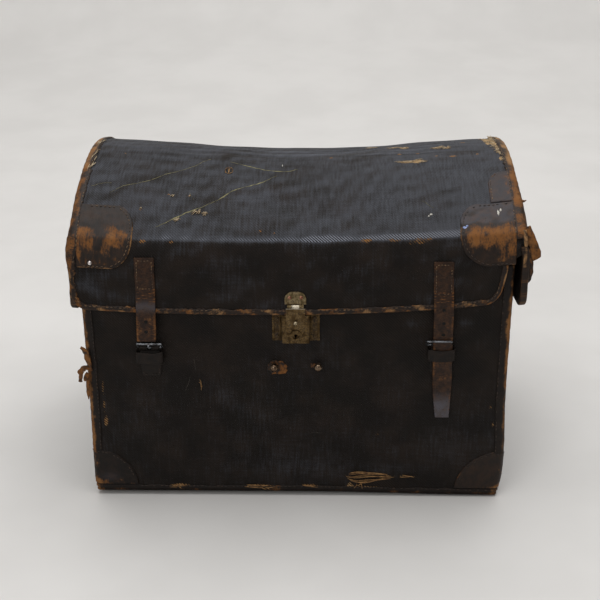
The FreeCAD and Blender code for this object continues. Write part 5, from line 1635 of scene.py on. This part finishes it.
def corner_cap(name, side, low, high, inner, band_at, seed, turned=False, bare=(), rub_all=0.55, dull=0.4):
    """A cap from run low to high with its rounded corners inward, rubbed in a band along the bend.
    A turned cap sits at the back, upside down; bare lists more rubbed places."""
    outer = 350
    s = np.concatenate([low + CAP_TRIM, np.linspace(low + 12, high - 12, 45), high - CAP_TRIM[::-1]])[:, None]
    share = laid(0, 1, 0.035, 0.009)[None, :]
    corners = ((54, 50), (46, 30)) if side > 0 else ((50, 38), (46, 30))
    corners = corners[::-1] if turned else corners
    start = inner + rounded_sides(s, low, high, corners) + 0.8 * uneven(s, 0, 30, seed)
    x = start + share * (outer - start)
    s = s + 0 * x
    rub = np.exp(-((s - band_at + 5 * uneven(x, 0, 40, seed + 1)) / 19) ** 4)
    worn = rub_all * rub + 0.2 * uneven(x, s, 24, seed + 2) + 0.05 + hills(x, s, bare)
    if not turned:
        scuffed = 0.2 * uneven(x * 2.5, s * 0.6, 18, seed + 3) * ease((band_at + 20 - s) / 15)
        worn = worn + 0.16 * ease((band_at - s) / 20) + scuffed
    edge = np.minimum(np.minimum((x - start) * 0.8, s - low), high - s)
    rim = ease((2.0 - edge) / 1.4)
    worn = worn + (0.5 if side < 0 else -0.1) * rim - 0.55 * np.exp(-((edge - 4) / 1.8) ** 2)
    # The cap's top above the bend is greyed with dust and with painted sheen where it faces the lamp above.
    # Along the stitch line the grey dips to paint the shade of the sewn groove.
    bloom_and_painted_light = dull * ease(((band_at - s if turned else s - band_at) - 14) / 16)
    bloom_and_painted_light = bloom_and_painted_light * (1 + 0.6 * uneven(x, s, 18, seed + 5)) - 0.4 * np.exp(-((edge - 4) / 1.6) ** 2)
    x, s, worn, bloom_and_painted_light, pale = (a[:, ::side] for a in (side * x, s, worn, bloom_and_painted_light, 0.1 + 0.6 * rim))
    leather("cap_" + name, over_slit, x, s, 2.1, worn, binding_leather, "lid", bloom_and_painted_light=bloom_and_painted_light, pale=pale,
            replaces=("corner_cap_" + name,), seed=seed, rough=0.4)
    line_s = np.linspace(low + 3.5, high - 4.5, 120)
    line_x = inner + 4 + rounded_sides(line_s, low + 3, high - 4, corners)
    rows = [seam(over_slit, side * line_x, line_s, 2.3)]
    for first_x, at in ((line_x[-1], high - 4), (line_x[0], low + 3)):
        rows.append(seam(over_slit, side * np.linspace(first_x, outer - 4, 30), at, 2.3))
    sewn("cap_stitches_" + name, rows, "lid", seed=seed, lost=0.1,
         finish=waxed_thread if side < 0 else black_thread)


LEFT_BARE = (((338, 124), (14, 15), .5), ((288, 125), (20, 15), .55), ((314, 118), (8, 20), -.3),
             ((332, 98), (9, 14), .35), ((300, 92), (12, 14), .35), ((318, 88), (6, 14), .3),
             ((346, 92), (4, 22), .5))
RIGHT_BARE = (((284, 123), (22, 14), .5), ((326, 123), (24, 16), .55), ((340, 90), (13, 16), .7),
              ((296, 104), (16, 8), .3), ((303, 88), (13, 9), -.2))
# The right cap's top carries strong painted sheen, the left cap's little.
corner_cap("front_left", -1, 72, 185, 261, 124, 300, bare=LEFT_BARE, rub_all=0.36, dull=0.2)
corner_cap("front_right", 1, 69, 182, 262, 120, 310, bare=RIGHT_BARE, rub_all=0.45, dull=0.95)
rear_caps = [2 * LID_CROWN - front_s for front_s in (186, 71, 112)]
for name, side, seed in (("rear_left", -1, 320), ("rear_right", 1, 330)):
    corner_cap(name, side, *rear_caps[:2], 264, rear_caps[2], seed, turned=True)


def added_patch():
    """The small patch sewn on above the right cap, with one rounded corner."""
    s = laid(184, 261, 3.0)[:, None]
    start = 314 + rounded_sides(s, 180, 261, ((2, 0), (34, 24)))
    x = start + laid(0, 1, 0.08, 0.02)[None, :] * (351 - start)
    s = s + 0 * x
    worn = 0.06 + 0.4 * uneven(x, s, 13, 341) + 0.3 * ease((x - 338) / 10)
    leather("added_patch", on_lid, x, s, 1.9, worn, binding_leather, "lid", bloom_and_painted_light=0.7, pale=0.1,
            replaces=("side_patch_right",), seed=340)
    line_s = np.linspace(188, 256, 40)
    line_x = 317.5 + rounded_sides(line_s, 180, 258, ((2, 0), (32, 22)))
    sewn("added_patch_stitches", [seam(on_lid, line_x, line_s, 2.1)], "lid", seed=342, lost=0.1)


added_patch()


NAIL_HEAD = np.array([(3.4, 2.1), (3.5, 2.8), (3.0, 3.9), (1.9, 4.7), (0.8, 5.0), (0.05, 5.05)])
WHITE_SPOTS = ((324, 161, 1.7, 5.0, 2.2), (328, 166, 1.6, 3.0, 2.2), (218, 168, 2.4, 1.8, 0.1),
               (214, 165, 1.6, 1.2, 0.1), (-26, 314, 0.5, 4.5, 0.1))
BLUE_SPOTS = ((269, 135, 3.4, 2.4, 2.2), (273, 138, 2.0, 1.6, 2.2))


def cap_nail():
    """A nail driven through the left cap."""
    turn = full_turn(18)
    wide, up = NAIL_HEAD[:, :1], NAIL_HEAD[:, 1:]
    head = on_lid(-328 + wide * np.cos(turn), 80 + wide * np.sin(turn), up)
    bright_nail = iron_finish("bright_nail", (0.5, 0.46, 0.45, 1), (0.8, 0.76, 0.74, 1), 0.25)
    surface("cap_nail", [patch(head, wrap=True)], bright_nail, "lid")


def spilt_spots(name, spots, finish):
    """Drops of spilt paint, dried on the lid."""
    turn = full_turn(18)
    share = np.array([1.0, 0.85, 0.4, 0.02])[:, None]
    height = np.array([0.02, 0.35, 0.5, 0.5])[:, None]
    drops = []
    for order, (x, s, wide, high, out) in enumerate(spots):
        away = share * (1 + 0.35 * uneven(np.cos(turn) * 9, np.sin(turn) * 9, 7, 350 + order))
        drop = on_lid(x + wide * away * np.cos(turn), s + high * away * np.sin(turn), out + height)
        drops.append(patch(drop, wrap=True))
    surface(name, drops, finish, "lid")


cap_nail()
spilt_spots("white_spots", WHITE_SPOTS,
            fibre_finish("spilt_white", (0.3, 0.28, 0.24, 1), (0.68, 0.66, 0.6, 1)))
spilt_spots("blue_spots", BLUE_SPOTS,
            fibre_finish("spilt_blue", (0.12, 0.17, 0.34, 1), (0.34, 0.42, 0.68, 1)))

# Straps: two bridle-leather straps sewn to the front flap in a long box of stitches. The left one has
# torn off above its buckle; the right one still hangs down through its buckle and keeper.

STRAP_WIDTH, STRAP_THICK = 32.0, 3.2
STRAP_Y, CREASE_Y = -247.1, -249.0
CREASE_Z = {"left": 360.113, "right": 359.772}


def punched(made, places, radius):
    """Cuts holes through a strap, front to back, and paints the hide round each hole black as painted shade.
    """
    turn = full_turn(14)
    points, faces = [], []
    for order, (x, y, z) in enumerate(places):
        hole_x, hole_z = x + radius * np.cos(turn), z + radius * np.sin(turn)
        for depth in (-7, 7):
            points.append(np.stack(np.broadcast_arrays(hole_x, y + depth, hole_z), -1))
        faces += bar_faces(2, 14, 28 * order)
    mesh = bpy.data.meshes.new("punch")
    mesh.from_pydata((np.concatenate(points) * MM).tolist(), [], faces)
    punch = bpy.data.objects.new("punch", mesh)
    bpy.context.scene.collection.objects.link(punch)
    cut = made.modifiers.new("holes", "BOOLEAN")
    cut.operation = "DIFFERENCE"
    cut.object = punch
    bpy.context.view_layer.update()
    shaped = bpy.data.meshes.new_from_object(made.evaluated_get(bpy.context.evaluated_depsgraph_get()))
    made.modifiers.clear()
    shaped.set_sharp_from_angle(angle=math.radians(62))
    at = np.empty(3 * len(shaped.vertices), np.float32)
    shaped.vertices.foreach_get("co", at)
    at = at.reshape(-1, 3) / MM
    tint = np.empty(4 * len(at), np.float32)
    shaped.attributes["paint"].data.foreach_get("color", tint)
    tint = tint.reshape(-1, 4)
    # Painted shade: the hide within a little of each hole, its rim and its wall, is painted black.
    for x, y, z in places:
        tint[np.hypot(at[:, 0] - x, at[:, 2] - z) < radius * 1.2] = (-1, -1, 0, 1)
    shaped.attributes["paint"].data.foreach_set("color", tint.ravel())
    made.data = shaped
    bpy.data.objects.remove(punch)
    bpy.data.meshes.remove(mesh)


def marked(at, marks):
    """A measure at a height, read between marks of height and measure."""
    return np.interp(at, *zip(*sorted(marks)))


def strap(side, top, sewn_to, tail, widths, lean, holes, paint_at, seed):
    """A strap from its sewn top over the rim's crease to its tail, with its holes and its stitches."""
    x = STRAP_X[side]
    wall_y, wall_z = lid_profile(np.linspace(0, BELLY_S, 60))[:2]

    def lie(at):
        return np.interp(at - 6.0, wall_z, wall_y) - LID_FRONT

    z = np.concatenate([np.arange(top, CREASE_Z[side] + 1, -2.2), [CREASE_Z[side]]])
    wrinkle = np.sin((z - 360) * 2 * math.pi / 6.6) + 0.5 * np.sin((z - 360) * 2 * math.pi / 4.1)
    wrinkle = wrinkle * ease((sewn_to - 2 - z) / 8) * ease((z - 363) / 8)
    y = STRAP_Y + lie(z) - 1.9 * ease((400 - z) / 22) - np.maximum(wrinkle, -0.4) * 0.42
    line = np.concatenate([np.stack([y, z], -1), tail])
    run = run_along(line)
    end = run[-1]
    even = np.concatenate([[0, 0.5, 1.2], np.arange(2.4, end - 2, 1.2), [end - 1.2, end - 0.5, end]])
    line = points_at(even, run, line)
    width = marked(line[:, 1], widths) + 0.4 * uneven(even, 0, 40, seed)
    width[:2] -= (2.2, 0.8)
    loft = band_rings(line, x + marked(line[:, 1], lean), width, STRAP_THICK, 0.2)
    made = band("strap_hide_" + side, [loft], strap_leather, None, ("strap_" + side, "strap_tail_" + side),
                seed, paint_at)
    punched(made, [(x + marked(at, lean), CREASE_Y, at) for at in holes], 2.4)
    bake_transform(made)
    up = np.linspace(top - 5, sewn_to, 40)
    across = np.linspace(-12, 12, 12)
    face = STRAP_Y - 1.75
    rows = [front_row(x + edge + marked(up, lean), face + lie(up), up) for edge in (-12.2, 12.2)]
    rows += [front_row(x + across + marked(at, lean), face + lie(at), at) for at in (top - 4.5, sewn_to)]
    sewn("strap_stitches_" + side, rows, "lid", 3.4, 1.7, 1.1, seed, 0.03)


def crease_highlights(x, z, high):
    """Painted highlights on the cross creases where a strap bends below its stitches: their crests are
    painted paler for the light they catch.
    """
    wave = np.sin((z + 1.3 * uneven(x, z, 15, 72)) * 2 * math.pi / 4.8)
    bend = ease((high - z) / 8) * ease((z - high + 32) / 10)
    return np.clip(wave, 0, 1) ** 2 * bend * (0.7 + 0.5 * uneven(x, z, 9, 73))


def left_paint(x, z):
    """Rubbed where it tore off, with a painted sheen over the rim's crease."""
    worn = 0.3 * ease((362 - z) / 10) - 0.12 * ease((z - 400) / 8) - 0.3 * np.exp(-((z - 370) / 9) ** 2)
    return worn + crease_highlights(x, z, 406), 0.5 * np.exp(-((z - 371) / 10) ** 2)


def right_paint(x, z):
    """Rubbed below its buckle, with a painted highlight at its tail."""
    worn = 0.05 + 0.25 * spot(x, z, (238, 255), (12, 25)) - 0.2 * ease((z - 398) / 8)
    return worn + crease_highlights(x, z, 402), 0.95 * ease((222 - z) / 52)


LEFT_TAIL = ((CREASE_Y, 352), (CREASE_Y - 0.2, 340), (CREASE_Y - 0.3, 326), (CREASE_Y - 0.6, 316),
             (CREASE_Y - 1.2, 309))
RIGHT_TAIL = ((-248.6, 350), (-247.6, 335), (-246.5, 322), (-246.2, 312), (-246.2, 290), (-246.2, 274),
              (-245.0, 264), (-241.5, 242), (-237.6, 218), (-235.6, 204), (-235.1, 192), (-235.1, 176),
              (-235.4, 160.9))
strap("left", 453, 402, LEFT_TAIL,
      widths=((300, 30), (312, 31.5), (322, STRAP_WIDTH), (460, STRAP_WIDTH)),
      lean=((460, 0), (400, 0), (360, -1.5), (309, -3.5)),
      holes=(344, 326), paint_at=left_paint, seed=70)
strap("right", 447, 393, RIGHT_TAIL,
      widths=((160, 24), (206, 30), (225, STRAP_WIDTH), (460, STRAP_WIDTH)),
      lean=((460, 2), (420, 2.5), (360, 5), (300, 6), (273, 6.5), (161, 11)),
      holes=(366, 342, 321), paint_at=right_paint, seed=71)

# Studio: a pale painted floor swept up into a backdrop behind the trunk, one wide soft lamp overhead
# and a weaker one at the front left, and the camera in front and a little above.

FLOOR_DARK, FLOOR_LIGHT = (0.62, 0.61, 0.595, 1), (0.66, 0.65, 0.635, 1)
SWEEP = np.array([(-8000, 0), (-4000, 0), (0, 0), (2400, 0), (3400, 120), (4100, 600), (4400, 1600),
                  (4500, 4000), (4500, 8000)])
LAMPS = (("overhead", (0.2, 0.5, 4.92), (0, 0, 0), 5.2, 248),
         ("front", (-3.0, -5.2, 3.72), (55, 0, -30), 3.2, 84))
ROOM_LIGHT, ROOM_STRENGTH = (1.0, 0.96, 0.92, 1), 0.32


def floor_sweep():
    """The floor, curved up far behind the trunk."""
    made, wire, place = begin("pale_floor")
    tone = place.noise(300, 3).between(0.3, 0.7).mix(FLOOR_DARK, FLOOR_LIGHT)
    close(wire, {"Base Color": tone, "Roughness": 0.7})
    x = np.linspace(-10000, 10000, 21)
    points = np.stack(np.broadcast_arrays(x, SWEEP[:, :1], SWEEP[:, 1:]), -1)
    surface("floor_sweep", [patch(points)], made, None)


def lamps():
    """Two square soft lamps and a dim even light from the room."""
    for name, at, turn, size, power in LAMPS:
        lamp = bpy.data.lights.new(name, "AREA")
        lamp.shape = "SQUARE"
        lamp.size = size
        lamp.energy = power
        holder = bpy.data.objects.new(name, lamp)
        holder.location = at
        holder.rotation_euler = [math.radians(angle) for angle in turn]
        bpy.context.scene.collection.objects.link(holder)
    world = bpy.data.worlds.new("room")
    world.use_nodes = True
    room = world.node_tree.nodes["Background"].inputs
    room["Color"].default_value = ROOM_LIGHT
    room["Strength"].default_value = ROOM_STRENGTH
    bpy.context.scene.world = world
    bpy.context.scene.view_settings.view_transform = "Standard"


CAMERA_AT = (0.0525, -1.8795, 1.1002)
CAMERA_LENS = 66.47
CAMERA_TURN, CAMERA_TILT, CAMERA_ROLL = 1.58, 23.74, -0.51


def camera():
    """The camera, turned, tilted down and a little rolled."""
    data = bpy.data.cameras.new("camera")
    data.sensor_width = 36
    data.lens = CAMERA_LENS
    made = bpy.data.objects.new("camera", data)
    made.location = CAMERA_AT
    turn, tilt, roll = (Matrix.Rotation(math.radians(angle), 4, axis) for angle, axis in (
        (CAMERA_TURN, "Z"), (90 - CAMERA_TILT, "X"), (CAMERA_ROLL, "Z")))
    made.rotation_euler = (turn @ tilt @ roll).to_euler()
    bpy.context.scene.collection.objects.link(made)
    bpy.context.scene.camera = made


floor_sweep()
lamps()
camera()
